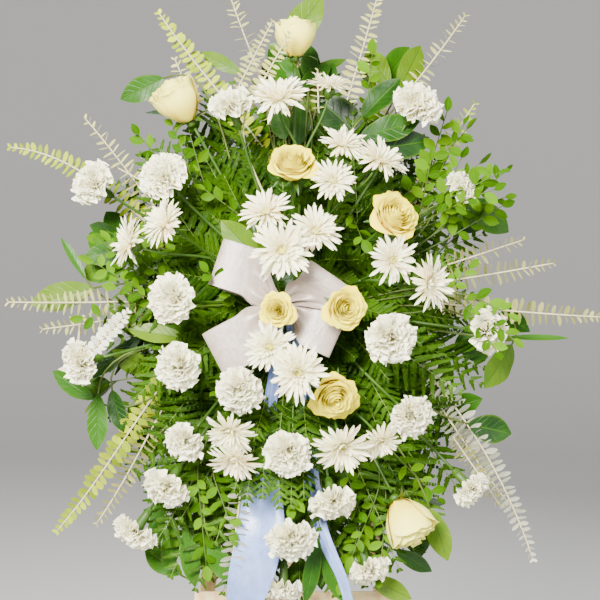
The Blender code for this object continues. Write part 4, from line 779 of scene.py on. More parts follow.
def fern_rank(surface, fronds, outs, shares, length, crowding, rooted_in_front):
    """Fronds fanned all round the foam: each tip lies at its share of the outline in its direction. The
    outline is a rounded box, |across/a|^n + |up/b|^n = 1."""
    rng = surface.rng
    fronds = round(fronds * crowding)
    for number in range(fronds):
        angle = math.tau * (number + rng.uniform(-0.35, 0.35)) / fronds
        way = np.array((math.cos(angle), math.sin(angle)))
        way = way / (np.abs(way / OUTLINE) ** ROUNDNESS).sum() ** (1 / ROUNDNESS)
        share = rng.uniform(*shares)
        out = rng.uniform(*outs)
        tip = point(way[0] * share, out, BED_UP + way[1] * share)
        if rooted_in_front:
            root = point(way[0] * FRONT_ROOT[0], FRONT_ROOT[1], FOAM_UP + way[1] * FRONT_ROOT[2])
        else:
            root = foam_side(point(way[0] * 0.5, 0.058 + 0.30 * out, FOAM_UP + way[1] * 0.4))
        path = curve(root, unit(root - FOAM_MIDDLE), tip, unit(tip - root), FROND_STEPS)
        face = unit(TOWARDS_VIEWER + rng.normal(0, 0.28, 3))
        frond(surface, path, min(length, np.linalg.norm(tip - root) * 0.95), face=face,
              lime=rng.choice((0.0, 0.0, 0.0, 0.35)))


# The ribbon

RIBBON_WIDTH = 0.070
BAND_WIDTH = 0.034
# How wide the gathered satin shows in the knot, and in the band round it
KNOT_WIDTH = 0.016
BAND_SHOWN = 0.023
# The band winds on from an angle, in an oval whose radii, out and up, grow with each turn
BAND_TURNS = 1.08
BAND_START = 2.2
BAND_RADII = (0.0105, 0.0128)
BAND_GROWTH = 0.0007
LOOP_PLEATS = 2.5
BAND_PLEATS = 3.5
MOST_PLEAT = 0.0042
# How far the open part of a tail sways, and over how many samples each way its stations are averaged
SWAY = 0.0035
STATION_BLUR = 13
PICK_RADII = (0.0022, 0.0018)
# The satin's width less what its edges lose in the pleats
PLEATED_WIDTH = RIBBON_WIDTH * 0.995
KNOT = np.array((-0.013, -0.205, 1.123))
# Each loop of the bow: its direction in degrees, length, how far its middle line lies beside the knot, the
# space it holds open, and its tilt to the viewer
LOOPS = ((162, 0.114, -0.028, 0.030, 0.0), (208, 0.126, 0.018, 0.030, 0.0), (55, 0.076, -0.030, 0.030, 0.2),
         (-24, 0.090, -0.010, 0.026, 0.0))


def pleated(middle, across, normal, shown, width, pleats, phase=0.0):
    """A ribbon whose cross-section is a wave: u·shown/2 to the side and depth·cos(pleats·π·u + phase) out
    of it, its depth chosen so that the wave is about as long as the ribbon is wide."""
    u = np.linspace(-1, 1, 25)
    slack = np.sqrt(np.maximum(width / shown - 1, 0))
    depth = np.minimum(slack * shown / (pleats * math.pi), MOST_PLEAT)
    wave = depth[:, None] * np.cos(pleats * math.pi * u[None] + phase)
    side = across[:, None] * (shown[:, None] / 2 * u)[..., None]
    return (middle[:, None] + side + normal[:, None] * wave[..., None])[None]


def developed(grid):
    """The length of a ribbon's middle line."""
    return float(step_lengths(grid[0, :, grid.shape[2] // 2]).sum())


def bow_loop(angle, length, beside, space, tilt):
    """One loop. Its middle line runs out as sin(πs)^0.8 and back below itself, and moves beside the knot
    as it opens, by smooth(1.9·sin(πs)); its width opens by smooth(2.6·sin(πs))."""
    s = np.linspace(0.02, 0.98, 46)
    wave = np.sin(math.pi * s)
    turn = math.radians(angle)
    out = unit(np.array((math.cos(turn), -tilt, math.sin(turn))))
    across = unit(np.cross(TOWARDS_VIEWER, out))
    front = np.cross(out, across)
    lift = space * (s - 0.5) * wave ** 0.5 * 2 + 0.10 * length * wave
    opening = smooth(1.9 * wave)[:, None]
    middle = KNOT + out * (length * wave ** 0.8)[:, None] + front * lift[:, None] + across * beside * opening
    normal = unit(np.cross(unit(np.gradient(middle, axis=0)), across))
    shown = KNOT_WIDTH + (RIBBON_WIDTH - KNOT_WIDTH) * smooth(2.6 * wave)
    return pleated(middle, np.broadcast_to(across, middle.shape), normal, shown, PLEATED_WIDTH,
                   LOOP_PLEATS, angle)


def tail(stations, pleats):
    """A tail through its stations: folded lengthwise at the top, opening towards its cut end."""
    shares = np.linspace(0, 1, len(stations))
    fine = np.linspace(0, 1, 90)
    numbers = [smooth_through(shares, values, fine) for values in np.array(stations, float).T]
    across, out, up, shown = (values / 1000 for values in numbers[:4])
    turn = np.radians(numbers[4])
    middle = np.stack((across, -out, up), axis=-1)
    along = unit(np.gradient(middle, axis=0))
    across = square_to(along, np.stack((np.cos(turn), -np.sin(turn), np.zeros_like(turn)), axis=-1))
    normal = np.cross(along, across)
    sway = SWAY * np.sin(fine * 21) * smooth((fine - 0.45) / 0.3)
    return pleated(middle + normal * sway[:, None], across, normal, shown, PLEATED_WIDTH, pleats)


def smooth_through(shares, values, fine):
    """Values between stations, averaged over a short window so that no station shows as a corner."""
    wide = np.linspace(-0.08, 1.08, 400)
    dense = np.interp(wide, shares, values)
    before = wide < 0
    after = wide > 1
    dense[before] = values[0] + (values[1] - values[0]) * wide[before] / (shares[1] - shares[0])
    dense[after] = values[-1] + (values[-1] - values[-2]) * (wide[after] - 1) / (shares[-1] - shares[-2])
    window = np.hanning(2 * STATION_BLUR + 1)
    window /= window.sum()
    averaged = np.convolve(dense, window, mode="valid")
    return np.interp(fine, wide[STATION_BLUR:-STATION_BLUR], averaged)


def knot_band():
    """The band round the bow's middle: a gathered strip wound once round, in an oval a little wider at
    its end than at its start, so that the end lies over the start."""
    turn = np.linspace(0, BAND_TURNS * math.tau, 44)
    growth = BAND_GROWTH * turn / math.tau
    out = (BAND_RADII[0] + growth) * np.cos(turn - BAND_START)
    up = (BAND_RADII[1] + growth) * np.sin(turn - BAND_START)
    middle = KNOT + np.stack((np.zeros_like(turn), -out, up), axis=-1)
    across = np.broadcast_to(np.array((1.0, 0.0, 0.0)), middle.shape)
    normal = unit(np.cross(across, unit(np.gradient(middle, axis=0))))
    return pleated(middle, across, normal, np.full(len(turn), BAND_SHOWN), BAND_WIDTH, BAND_PLEATS)


# Finishes

class Signal:
    """A number that a node gives. Sums, products and powers of it add Math nodes."""

    def __init__(self, finish, socket):
        self.finish = finish
        self.socket = socket

    def maths(self, operation, *values):
        return self.finish.node("ShaderNodeMath", {"operation": operation}, dict(enumerate(values)))

    def __add__(self, other):
        return self.maths("ADD", self, other)

    def __sub__(self, other):
        return self.maths("SUBTRACT", self, other)

    def __rsub__(self, other):
        return self.maths("SUBTRACT", other, self)

    def __mul__(self, other):
        return self.maths("MULTIPLY", self, other)

    def __pow__(self, other):
        return self.maths("POWER", self, other)

    __radd__ = __add__
    __rmul__ = __mul__

    def distance(self, other):
        return self.maths("ABSOLUTE", self - other)

    def wave(self):
        return self.maths("SINE", self)

    def between(self, low, high):
        """0 below low, 1 above high, and an S-curve between."""
        return self.finish.node("ShaderNodeMapRange", {"interpolation_type": "SMOOTHSTEP"},
                                {"Value": self, "From Min": low, "From Max": high})


class Finish:
    """A material under construction: one Principled shader, fed by nodes that expressions add."""

    def __init__(self, name, **constants):
        self.material = bpy.data.materials.new(name)
        self.material.use_nodes = True
        self.tree = self.material.node_tree
        self.tree.nodes.clear()
        sockets = {}
        for key, value in constants.items():
            sockets[key.replace("_", " ").title().replace("Ior", "IOR")] = value
        shader = self.node("ShaderNodeBsdfPrincipled", {}, sockets)
        self.shader = shader.socket.node
        self.node("ShaderNodeOutputMaterial", {}, {"Surface": shader}, None)

    def node(self, kind, settings, sockets, output=0):
        """Adds a node, makes its settings, then fills or links its sockets, and gives one of its outputs."""
        made = self.tree.nodes.new(kind)
        for name, value in settings.items():
            setattr(made, name, value)
        for key, value in sockets.items():
            if isinstance(value, Signal):
                self.tree.links.new(value.socket, made.inputs[key])
            else:
                made.inputs[key].default_value = value
        return None if output is None else Signal(self, made.outputs[output])

    def give(self, socket, value):
        """Feeds one of the shader's sockets."""
        self.tree.links.new(value.socket, self.shader.inputs[socket])

    def done(self, base, rough, height, strength, distance):
        """Feeds the shader's colour and roughness, and relief from a height, and gives the material."""
        self.give("Base Color", base)
        self.give("Roughness", rough)
        self.give("Normal", self.node("ShaderNodeBump", {}, {"Height": height, "Strength": strength,
                                                             "Distance": distance}))
        return self.material

    def where(self, scale=(1, 1, 1)):
        """The point on the object, scaled."""
        at = self.node("ShaderNodeTexCoord", {}, {}, "Object")
        return self.node("ShaderNodeMapping", {}, {"Vector": at, "Scale": scale})

    def blade(self, scale=(1, 1, 1)):
        """The point on a blade's own map, scaled: u across and v along it."""
        at = self.node("ShaderNodeUVMap", {"uv_map": "UVMap"}, {})
        return self.node("ShaderNodeMapping", {}, {"Vector": at, "Scale": scale})

    def parts(self, vector):
        """The three numbers of a vector."""
        first = self.node("ShaderNodeSeparateXYZ", {}, {0: vector})
        return [Signal(self, socket) for socket in first.socket.node.outputs]

    def tint(self):
        """The blade's own random number."""
        return self.node("ShaderNodeAttribute", {"attribute_name": "tint"}, {}, "Fac")

    def noise(self, vector, scale, detail, roughness=0.55):
        """Cloudy noise from 0 to 1."""
        sockets = {"Vector": vector, "Scale": scale, "Detail": detail, "Roughness": roughness}
        return self.node("ShaderNodeTexNoise", {}, sockets)

    def mix(self, factor, first, second):
        """A colour between two."""
        sockets = {0: factor, 6: colour(first), 7: colour(second)}
        return self.node("ShaderNodeMix", {"data_type": "RGBA"}, sockets, 2)


def colour(value):
    """A colour with its alpha, or the signal as it is."""
    return value if isinstance(value, Signal) else (*value[:3], 1.0)


def shade_of(base, lightness):
    """A colour multiplied by a lightness."""
    return tuple(min(1.0, channel * lightness) for channel in base[:3])


def petal_finish(name, rim, heart, flush, veins):
    """A petal: its heart's colour gives way to the rim's along it, some petals flush warmer, fine veins run
    up it, and light passes a little way in. In a carnation and in a chrysanthemum's eye the heart's colour
    is painted shade deep among the petals."""
    finish = Finish(name, roughness=0.55, specular_ior_level=0.15, sheen_weight=0.05, sheen_roughness=0.4,
                    subsurface_weight=0.55, subsurface_scale=0.010, subsurface_radius=(1.0, 0.88, 0.74))
    v = finish.parts(finish.blade())[1]
    cloud = finish.noise(finish.where(), 34, 2.0)
    # Towards its foot a petal takes the heart's colour; for a carnation and the chrysanthemum eye this is
    # painted shade
    edge = finish.mix((v + cloud * 0.25 - 0.12).between(0.02, 0.80), heart, rim)
    warm = (finish.tint() * 0.8 + cloud * 0.5).between(0.62, 1.05) * (1 - v * 0.7)
    ribs = finish.noise(finish.blade((veins, 1.6, 1)), 1.0, 2.0)
    return finish.done(finish.mix(warm, edge, flush), 0.44 + ribs * 0.18, ribs, 0.25, 0.0005)


def leaf_finish(name, dark, light, rib, middle_shade=None, roughness=0.42, gloss=0.07, side_veins=7.0,
                slant=3.2, relief=0.5):
    """A leaf: each blade has its own shade from dark to light, by way of a middle shade if one is given,
    with blotches, a pale rib down its middle and side veins that leave it at a slant."""
    finish = Finish(name, roughness=roughness, specular_ior_level=gloss)
    u, v, _ = finish.parts(finish.blade())
    cloud = finish.noise(finish.where(), 22, 4.0)
    fine = finish.noise(finish.where(), 150, 2.0)
    away = u.distance(0.5)
    shade = finish.tint() * 0.85 + cloud * 0.55 - 0.2
    if middle_shade is None:
        body = finish.mix(shade.between(0.05, 0.95), dark, light)
    else:
        body = finish.mix(shade.between(0.0, 0.50), dark, middle_shade)
        body = finish.mix(shade.between(0.50, 0.95), body, light)
    slope = v * side_veins - away * slant
    veins = 1 - slope.maths("FRACT", slope).distance(0.5).between(0.0, 0.10)
    middle = 1 - away.between(0.012, 0.040)
    lines = middle.maths("MAXIMUM", middle, veins * 0.42)
    body = finish.mix(lines * 0.55, body, rib)
    body = finish.mix(away.between(0.40, 0.50) * 0.35, body, light)
    return finish.done(body, roughness - 0.08 + fine * 0.22, lines * -1.0 + fine * 0.35, relief, 0.0012)


def stalk_finish(name, base, tip):
    """A stem: one colour turning to another in blotches, with fine lengthwise lines."""
    finish = Finish(name, roughness=0.5, specular_ior_level=0.4)
    cloud = finish.noise(finish.where(), 30, 4.0)
    lines = finish.noise(finish.where((400, 400, 24)), 1.0, 2.0)
    body = finish.mix((cloud * 0.8 + lines * 0.4).between(0.3, 0.9), base, tip)
    return finish.done(body, 0.42 + lines * 0.2, lines, 0.3, 0.0005)


def satin_finish(name, base, shadow):
    """Satin: a fine rib across the ribbon, soft creases, painted shade from the shadow colour in the creases
    and in soft blotches, darker edges, and a gloss that is drawn out along the weave."""
    finish = Finish(name, roughness=0.30, specular_ior_level=0.6, anisotropic=0.55, sheen_weight=0.35,
                    sheen_roughness=0.3, coat_weight=0.10, coat_roughness=0.35)
    u, v, _ = finish.parts(finish.blade())
    weave = (v * 2600).wave() * 0.5 + (u * 700).wave() * 0.3
    creases = finish.noise(finish.blade((5, 26, 1)), 1.0, 4.0, 0.6)
    cloud = finish.noise(finish.where(), 14, 3.0)
    selvedge = u.distance(0.5).between(0.478, 0.496)
    # Painted shade: the shadow colour fills the creases and soft blotches
    body = finish.mix((creases * 0.6 + cloud * 0.5).between(0.30, 0.85), shadow, base)
    body = finish.mix(selvedge * 0.5, body, shade_of(shadow, 0.9))
    return finish.done(body, 0.24 + creases * 0.16 + weave * 0.02, creases + weave * 0.03 + selvedge * 0.2,
                       0.45, 0.0016)


def wood_finish(name, pale, dark):
    """Planed softwood: long grain bands bent by slow noise, short pores, and worn patches that are paler."""
    finish = Finish(name, roughness=0.55, specular_ior_level=0.35, coat_weight=0.12, coat_roughness=0.45)
    bend = finish.noise(finish.where((3, 3, 1.2)), 2.6, 2.0)
    x, y, z = finish.parts(finish.where())
    rings = ((x * 210 + y * 260 + z * 6 + bend * 30).wave() * 0.5 + 0.5) ** 1.6
    fibres = finish.noise(finish.where((520, 520, 14)), 1.0, 3.0)
    pores = finish.noise(finish.where((900, 900, 60)), 1.0, 2.0).between(0.60, 0.72)
    wear = finish.noise(finish.where(), 9, 4.0)
    body = finish.mix(rings * 0.55 + fibres * 0.35, pale, dark)
    body = finish.mix(pores * 0.45, body, shade_of(dark, 0.6))
    body = finish.mix(wear.between(0.52, 0.80) * 0.25, body, shade_of(pale, 1.12))
    return finish.done(body, 0.46 + fibres * 0.16 + rings * 0.06, rings * 0.5 + fibres * 0.6 - pores * 0.6,
                       0.30, 0.0008)


def zinc_finish(name, base):
    """Plated steel: fine turning marks, and patches that are duller and darker."""
    finish = Finish(name, metallic=1.0, roughness=0.36)
    patches = finish.noise(finish.where(), 220, 4.0)
    marks = finish.noise(finish.where((1500, 90, 90)), 1.0, 2.0)
    body = finish.mix(patches.between(0.45, 0.8), base, shade_of(base, 0.62))
    return finish.done(body, 0.26 + patches * 0.26, marks, 0.25, 0.0002)


def tray_finish(name, base):
    """Moulded plastic: a fine satin grain, and paler water marks where it has been wet."""
    finish = Finish(name, roughness=0.40, specular_ior_level=0.5)
    grain = finish.noise(finish.where(), 1400, 2.0)
    marks = finish.noise(finish.where(), 26, 5.0)
    body = finish.mix(marks.between(0.4, 0.75), base, shade_of(base, 1.6))
    return finish.done(body, 0.30 + marks * 0.25 + grain * 0.05, grain + marks * 0.6, 0.2, 0.0004)


def foam_finish(name, base):
    """Soaked floral foam: fine open cells with painted shade where they are open, and wet patches that
    shine.
    """
    finish = Finish(name, roughness=0.85)
    cells = finish.node("ShaderNodeTexVoronoi", {}, {"Vector": finish.where(), "Scale": 900})
    wet = finish.noise(finish.where(), 18, 4.0)
    # Painted shade: the open cells darken to 0.55 of the base, and the foam between them is 1.25 times as
    # light
    body = finish.mix(cells.between(0.15, 0.7), shade_of(base, 0.55), shade_of(base, 1.25))
    body = finish.mix(wet.between(0.4, 0.8) * 0.5, body, shade_of(base, 0.5))
    return finish.done(body, 0.9 - wet.between(0.45, 0.8) * 0.45, cells, 0.6, 0.0008)


def floor_finish(name, base):
    """A plain pale floor with hardly any variation."""
    finish = Finish(name, roughness=0.7, specular_ior_level=0.25)
    cloud = finish.noise(finish.where(), 0.6, 2.0)
    finish.give("Base Color", finish.mix(cloud * 0.5, base, shade_of(base, 0.97)))
    return finish.material


# Settings

WHITE = (0.98, 0.950, 0.660)
GOLD = (0.95, 0.62, 0.003)
BLUSH = (0.96, 0.88, 0.72)
PEACH = (0.96, 0.70, 0.40)


def tone(name, description, default):
    """A colour property."""
    return FloatVectorProperty(name=name, description=description, default=default, subtype="COLOR", size=3,
                               min=0, max=1)


def span(name, description, default, **limits):
    """A length property."""
    return FloatProperty(name=name, description=description, default=default, subtype="DISTANCE",
                         unit="LENGTH", **limits)


def amount(kind, name, description, default, **limits):
    """A number property of a kind: whole numbers or not."""
    return kind(name=name, description=description, default=default, **limits)


class SprayPetals(bpy.types.PropertyGroup):
    carnation_rim: tone("Carnation rim", "Colour of a carnation's frilled edges", WHITE)
    # Painted shade: the carnation's heart colour is a creamier shade deep in its folds, towards each petal's
    # foot
    carnation_heart: tone("Carnation heart", "Colour deep in a carnation's folds", (0.97, 0.92, 0.55))
    rose_rim: tone("Rose rim", "Colour of a rose petal's upper edge", (0.93, 0.81, 0.018))
    rose_heart: tone("Rose heart", "Colour towards the foot of a rose petal", GOLD)
    rose_flush: tone("Rose flush", "A deeper gold on some rose petals", (0.93, 0.62, 0.006))
    bud_rim: tone("Bud rim", "Colour of a half-open rose's petals", (0.97, 0.91, 0.22))
    bud_flush: tone("Bud flush", "A warmer colour on some of them", (0.95, 0.80, 0.12))
    mum_rim: tone("Chrysanthemum petal", "Colour of a chrysanthemum petal's tip", WHITE)
    mum_heart: tone("Chrysanthemum heart", "Colour at the foot of its petals", (0.95, 0.91, 0.40))
    mum_eye: tone("Chrysanthemum eye", "Colour of the florets in the middle", (0.80, 0.78, 0.12))
    eye_flush: tone("Eye flush", "A warmer colour on some florets", (0.80, 0.74, 0.26))
    flush: tone("Flush", "A warmer colour on some carnation petals", BLUSH)
    mum_flush: tone("Chrysanthemum flush", "A warmer colour on some of its petals", PEACH)
    frill: span("Frill", "Height of the waves along a carnation's edge", 0.0078, min=0, max=0.02)
    rose_petals: amount(IntProperty, "Rose petals", "Petals of an open rose", 26, min=8, max=60)
    bud_petals: amount(IntProperty, "Bud petals", "Petals of a half-open rose", 18, min=6, max=40)


class SprayLeaves(bpy.types.PropertyGroup):
    stem: tone("Flower stems", "Colour of the flower stems", (0.012, 0.050, 0.001))
    stem_light: tone("Light stems", "Paler patches on the flower stems", (0.042, 0.100, 0.002))
    eucalyptus_dark: tone("Eucalyptus", "Colour of a eucalyptus leaf", (0.34, 0.35, 0.110))
    eucalyptus_light: tone("Eucalyptus bloom", "Waxy pale colour on the leaves", (0.56, 0.54, 0.190))
    eucalyptus_young: tone("Young eucalyptus", "Colour of a young eucalyptus leaf", (0.200, 0.280, 0.004))
    eucalyptus_lime: tone("Young bloom", "Paler colour on the young leaves", (0.42, 0.50, 0.020))
    # The silver colour is the real colour of some sprigs, and painted light on the two lowest sprigs of the
    # right bunch
    eucalyptus_silver: tone("Silver eucalyptus", "Colour of the palest sprigs", (0.72, 0.73, 0.55))
    eucalyptus_stalk: tone("Eucalyptus stem", "Colour of the whitish stems", (0.60, 0.53, 0.30))
    lemon_dark: tone("Lemon leaf", "Colour of a dark lemon leaf", (0.003, 0.022, 0.001))
    lemon_middle: tone("Fresh lemon leaf", "Colour of a bright green lemon leaf", (0.022, 0.095, 0.0008))
    lemon_light: tone("Young lemon leaf", "Colour of a pale lemon leaf", (0.085, 0.155, 0.0005))
    lemon_rib: tone("Lemon leaf ribs", "Colour of the ribs and veins", (0.036, 0.100, 0.002))
    lemon_stalk: tone("Lemon leaf stalk", "Colour of a lemon leaf's stalk", (0.05, 0.06, 0.006))
    lemon_stalk_light: tone("Light lemon leaf stalk", "Paler patches on the stalk", (0.08, 0.14, 0.008))
    fern_dark: tone("Fern", "Colour of the older leaflets", (0.004, 0.020, 0.0005))
    # Towards a frond's tip its leaflets lean to this colour, which there is a painted highlight
    fern_light: tone("Young fern", "Colour of the younger leaflets", (0.036, 0.095, 0.0003))
    fern_rib: tone("Fern ribs", "Colour of a frond's ribs", (0.040, 0.12, 0.006))
    fern_rib_light: tone("Light fern ribs", "Paler patches on the ribs", (0.12, 0.20, 0.012))
    lime_dark: tone("Huckleberry", "Colour of a huckleberry leaf", (0.024, 0.080, 0.0003))
    lime_light: tone("Young huckleberry", "Colour of the youngest leaves", (0.074, 0.178, 0.0003))
    lime_stalk: tone("Huckleberry stem", "Colour of a huckleberry stem", (0.030, 0.055, 0.003))
    lime_stalk_light: tone("Light huckleberry stem", "Paler patches on the stem", (0.065, 0.115, 0.004))
    fronds: amount(IntProperty, "Fronds", "Fronds in each rank of the fern bed", 28, min=4, max=45)


class SprayRibbon(bpy.types.PropertyGroup):
    # The satin's fold colours are painted shade in its creases
    satin: tone("Satin", "Colour of the ribbon in the light", (0.44, 0.36, 0.285))
    shadow: tone("Satin folds", "Colour of the ribbon in its folds", (0.27, 0.215, 0.19))
    # Painted reflection: the tails are the bow's satin tinted blue for a cast of reflected light; their fold
    # colour is painted shade as well
    tail: tone("Tail", "Colour of the tails, which the light reaches at a slant", (0.28, 0.41, 0.84))
    tail_shadow: tone("Tail folds", "Colour of the tails in their folds", (0.17, 0.24, 0.44))
    pleats: amount(FloatProperty, "Pleats", "Waves across the right tail; the left one has half as many",
                   3.0, min=1, max=8)


class SprayEasel(bpy.types.PropertyGroup):
    wood_pale: tone("Pale wood", "Colour of the spring wood", (0.80, 0.64, 0.32))
    wood_dark: tone("Dark wood", "Colour of the summer wood", (0.50, 0.30, 0.11))
    zinc: tone("Zinc", "Colour of the plated bolt", (0.62, 0.60, 0.56))
    tray: tone("Tray", "Colour of the moulded tray", (0.03, 0.11, 0.045))
    foam: tone("Foam", "Colour of the soaked foam", (0.06, 0.17, 0.07))


class SprayStage(bpy.types.PropertyGroup):
    floor: tone("Floor", "Colour of the floor", (0.56, 0.56, 0.555))
    sky: tone("Surroundings", "Colour of the soft light all round", (0.93, 0.92, 0.90))
    floor_radius: span("Floor radius", "Radius of the flat floor", 5.0, min=2)
    sweep: span("Sweep", "Radius with which the floor sweeps up all round", 3.5, min=0.5)
    key_power: amount(FloatProperty, "Key light", "Power of the main light", 560.0, min=0, unit="POWER")
    fill_power: amount(FloatProperty, "Fill light", "Power of the light beside the camera", 70.0, min=0,
                       unit="POWER")
    back_power: amount(FloatProperty, "Back light", "Power of the light behind", 110.0, min=0, unit="POWER")
    sky_strength: amount(FloatProperty, "Surrounding light", "Strength of the light all round", 0.55, min=0,
                         max=8)
    camera_distance: span("Camera distance", "From the camera to the spray", 2.6, min=1)
    tilt: amount(FloatProperty, "Camera tilt", "How far the camera looks down", math.radians(5),
                 subtype="ANGLE", unit="ROTATION")
    lens: amount(FloatProperty, "Lens", "Focal length", 104.0, min=20, max=300, subtype="DISTANCE_CAMERA",
                 unit="CAMERA")


SETTINGS = {"spray_petals": SprayPetals, "spray_leaves": SprayLeaves, "spray_ribbon": SprayRibbon,
            "spray_easel": SprayEasel, "spray_stage": SprayStage}


# Operators

class MakesPieces:
    """What the operators share: each calls make with the scene, and a failure stops the script."""

    bl_options = {"REGISTER", "UNDO"}

    def execute(self, context):
        self.make(context.scene)
        return {"FINISHED"}


class SPRAY_OT_easel(MakesPieces, bpy.types.Operator):
    """Gives the easel's legs, rails and bolt, and the foam and its tray, their finishes"""

    bl_idname = "spray.easel"
    bl_label = "Easel and holder"

    def make(self, scene):
        easel = scene.spray_easel
        wood = wood_finish("easel_wood_planed", easel.wood_pale, easel.wood_dark)
        finishes = {
            "pivot_bolt": zinc_finish("bolt_zinc", easel.zinc),
            "foam_tray": tray_finish("tray_moulded", easel.tray),
            "foam_block": foam_finish("foam_soaked", easel.foam),
        }
        wooden = ("front_leg_left", "front_leg_right", "rear_leg", "stop_rail", "crossbar", "ledge")
        for name, finish in (finishes | dict.fromkeys(wooden, wood)).items():
            mesh = frame["nodes"][name].data
            mesh.materials.clear()
            mesh.materials.append(finish)


class SPRAY_OT_carnations(MakesPieces, bpy.types.Operator):
    """Makes the carnations: frilled petals over a green calyx, each on its stem from the foam"""

    bl_idname = "spray.carnations"
    bl_label = "Carnations"

    def make(self, scene):
        white, green = scene.spray_petals, scene.spray_leaves
        finishes = (
            petal_finish("carnation_petal", white.carnation_rim, white.carnation_heart, white.flush, 42),
            stalk_finish("carnation_green", green.stem, green.stem_light),
        )
        for name, (*at, radius, turn) in CARNATIONS.items():
            node = f"carnation_{name}"
            surface = Surface(node)
            at = place(*at)
            axis = facing(at, turn)
            carnation_head(surface, at, axis, radius / 1000, white.frill)
            stem_from_foam(surface, at, axis, CARNATION_DEPTH)
            surface.piece(f"{node}_petals", finishes, "carnation_petals", node)


class SPRAY_OT_roses(MakesPieces, bpy.types.Operator):
    """Makes the roses and half-open roses: wrapped petals, sepals and hip, each on its stem from the foam"""

    bl_idname = "spray.roses"
    bl_label = "Roses"

    def make(self, scene):
        gold, green = scene.spray_petals, scene.spray_leaves
        stalk = stalk_finish("rose_green", green.stem, green.stem_light)
        rose = petal_finish("rose_petal", gold.rose_rim, gold.rose_heart, gold.rose_flush, 26)
        bud = petal_finish("bud_petal", gold.bud_rim, gold.rose_heart, gold.bud_flush, 26)
        for name, (*at, radius, turn, half_open) in ROSES.items():
            node = f"rose_{name}"
            surface = Surface(node)
            at = place(*at)
            count = gold.bud_petals if half_open else gold.rose_petals
            rose_head(surface, at, facing(at, turn), radius / 1000, count, half_open)
            surface.piece(f"{node}_petals", (bud if half_open else rose, stalk), "rose_petals", node)


class SPRAY_OT_chrysanthemums(MakesPieces, bpy.types.Operator):
    """Makes the sprays of chrysanthemums: one stem from the foam that forks to each head"""

    bl_idname = "spray.chrysanthemums"
    bl_label = "Chrysanthemums"

    def make(self, scene):
        white, green = scene.spray_petals, scene.spray_leaves
        finishes = (
            petal_finish("chrysanthemum_petal", white.mum_rim, white.mum_heart, white.mum_flush, 9),
            stalk_finish("chrysanthemum_green", green.stem, green.stem_light),
            # Painted shade: the eye's heart is its own colour at half the lightness, darkening the florets'
            # foot deep in the eye
            petal_finish("chrysanthemum_eye", white.mum_eye, shade_of(white.mum_eye, 0.5), white.eye_flush,
                         6),
        )
        for name, (fork, *heads) in SPRAYS.items():
            node = f"mums_{name}"
            surface = Surface(node)
            fork = place(*fork)
            start = foam_side(fork)
            for *at, radius, turn in heads:
                at = place(*at)
                axis = facing(at, turn)
                mum_head(surface, at, axis, radius / 1000)
                foot = at - axis * MUM_DEPTH
                stem(surface, fork, unit(fork - start) + unit(foot - fork), foot, axis, BRANCH_RADIUS)
            stem(surface, start, fork - start, fork, fork - start, STEM_RADIUS)
            surface.piece(f"{node}_petals", finishes, "chrysanthemum_petals", node)


class SPRAY_OT_eucalyptus(MakesPieces, bpy.types.Operator):
    """Makes the eucalyptus: whitish stems with close pairs of small oval leaves"""

    bl_idname = "spray.eucalyptus"
    bl_label = "Eucalyptus"

    def make(self, scene):
        green = scene.spray_leaves
        veins = {"side_veins": 5, "slant": 1.6, "relief": 0.25}
        light, lime, silver_and_painted_light = green.eucalyptus_light, green.eucalyptus_lime, green.eucalyptus_silver
        finishes = (
            leaf_finish("eucalyptus_leaf", green.eucalyptus_dark, light, light, roughness=0.62, **veins),
            stalk_finish("eucalyptus_stalk", green.eucalyptus_stalk, shade_of(green.eucalyptus_stalk, 0.7)),
            leaf_finish("eucalyptus_young_leaf", green.eucalyptus_young, lime, lime, roughness=0.55,
                        **veins),
            leaf_finish("eucalyptus_silver_leaf", shade_of(silver_and_painted_light, 0.7), silver_and_painted_light, silver_and_painted_light, roughness=0.60,
                        **veins),
        )
        stems = []
        for name, (root, *tips) in EUCALYPTUS.items():
            node = f"eucalyptus_{name}"
            surface = Surface(node)
            for across, out, up, openness, finish, *arriving in tips:
                path = stem_curve(place(*root), place(across, out, up), EUCALYPTUS_SAG, *arriving)
                eucalyptus_stem(surface, path, BARE_STEM, openness, finish)
                stems.append(path)
            surface.piece(f"{node}_leaves", finishes, "eucalyptus_leaves", node)
        surface = Surface("eucalyptus fill")
        for row in EUCALYPTUS_FILL:
            length, openness, finish = row[6:]
            leaf = length / 1000
            path, start = sprig_path(*ends(row), np.concatenate(stems))
            eucalyptus_stem(surface, path, start, openness, finish, leaf, leaf * EUCALYPTUS_CROWDING)
        surface.piece("eucalyptus_fill", finishes, "eucalyptus_leaves")


class SPRAY_OT_lemon_leaves(MakesPieces, bpy.types.Operator):
    """Makes the lemon leaves: broad glossy leaves behind and between the flowers"""

    bl_idname = "spray.lemon_leaves"
    bl_label = "Lemon leaves"

    def make(self, scene):
        green = scene.spray_leaves
        finishes = (
            leaf_finish("lemon_leaf", green.lemon_dark, green.lemon_light, green.lemon_rib,
                        green.lemon_middle, roughness=0.36, gloss=0.20),
            stalk_finish("lemon_stalk", green.lemon_stalk, green.lemon_stalk_light),
        )
        for name, (root, *tips) in LEMON_LEAVES.items():
            node = f"salal_{name}"
            surface = Surface(node)
            root = place(*root)
            for tip in tips:
                tip = place(*tip)
                path = stem_curve(root, tip - unit(tip - root) * LEMON_SHORT * LEMON_LENGTH)
                broad_stem(surface, path, BARE_LEMON_STEM, LEMON_PITCH, LEMON_LEAF)
            surface.piece(f"{node}_leaves", finishes, "lemon_leaves", node)
        surface = Surface("single leaves")
        for row in SINGLE_LEAVES:
            single_leaf(surface, *ends(row), row[6] / 1000, row[7] / 100)
        surface.piece("single_lemon_leaves", finishes, "lemon_leaves")


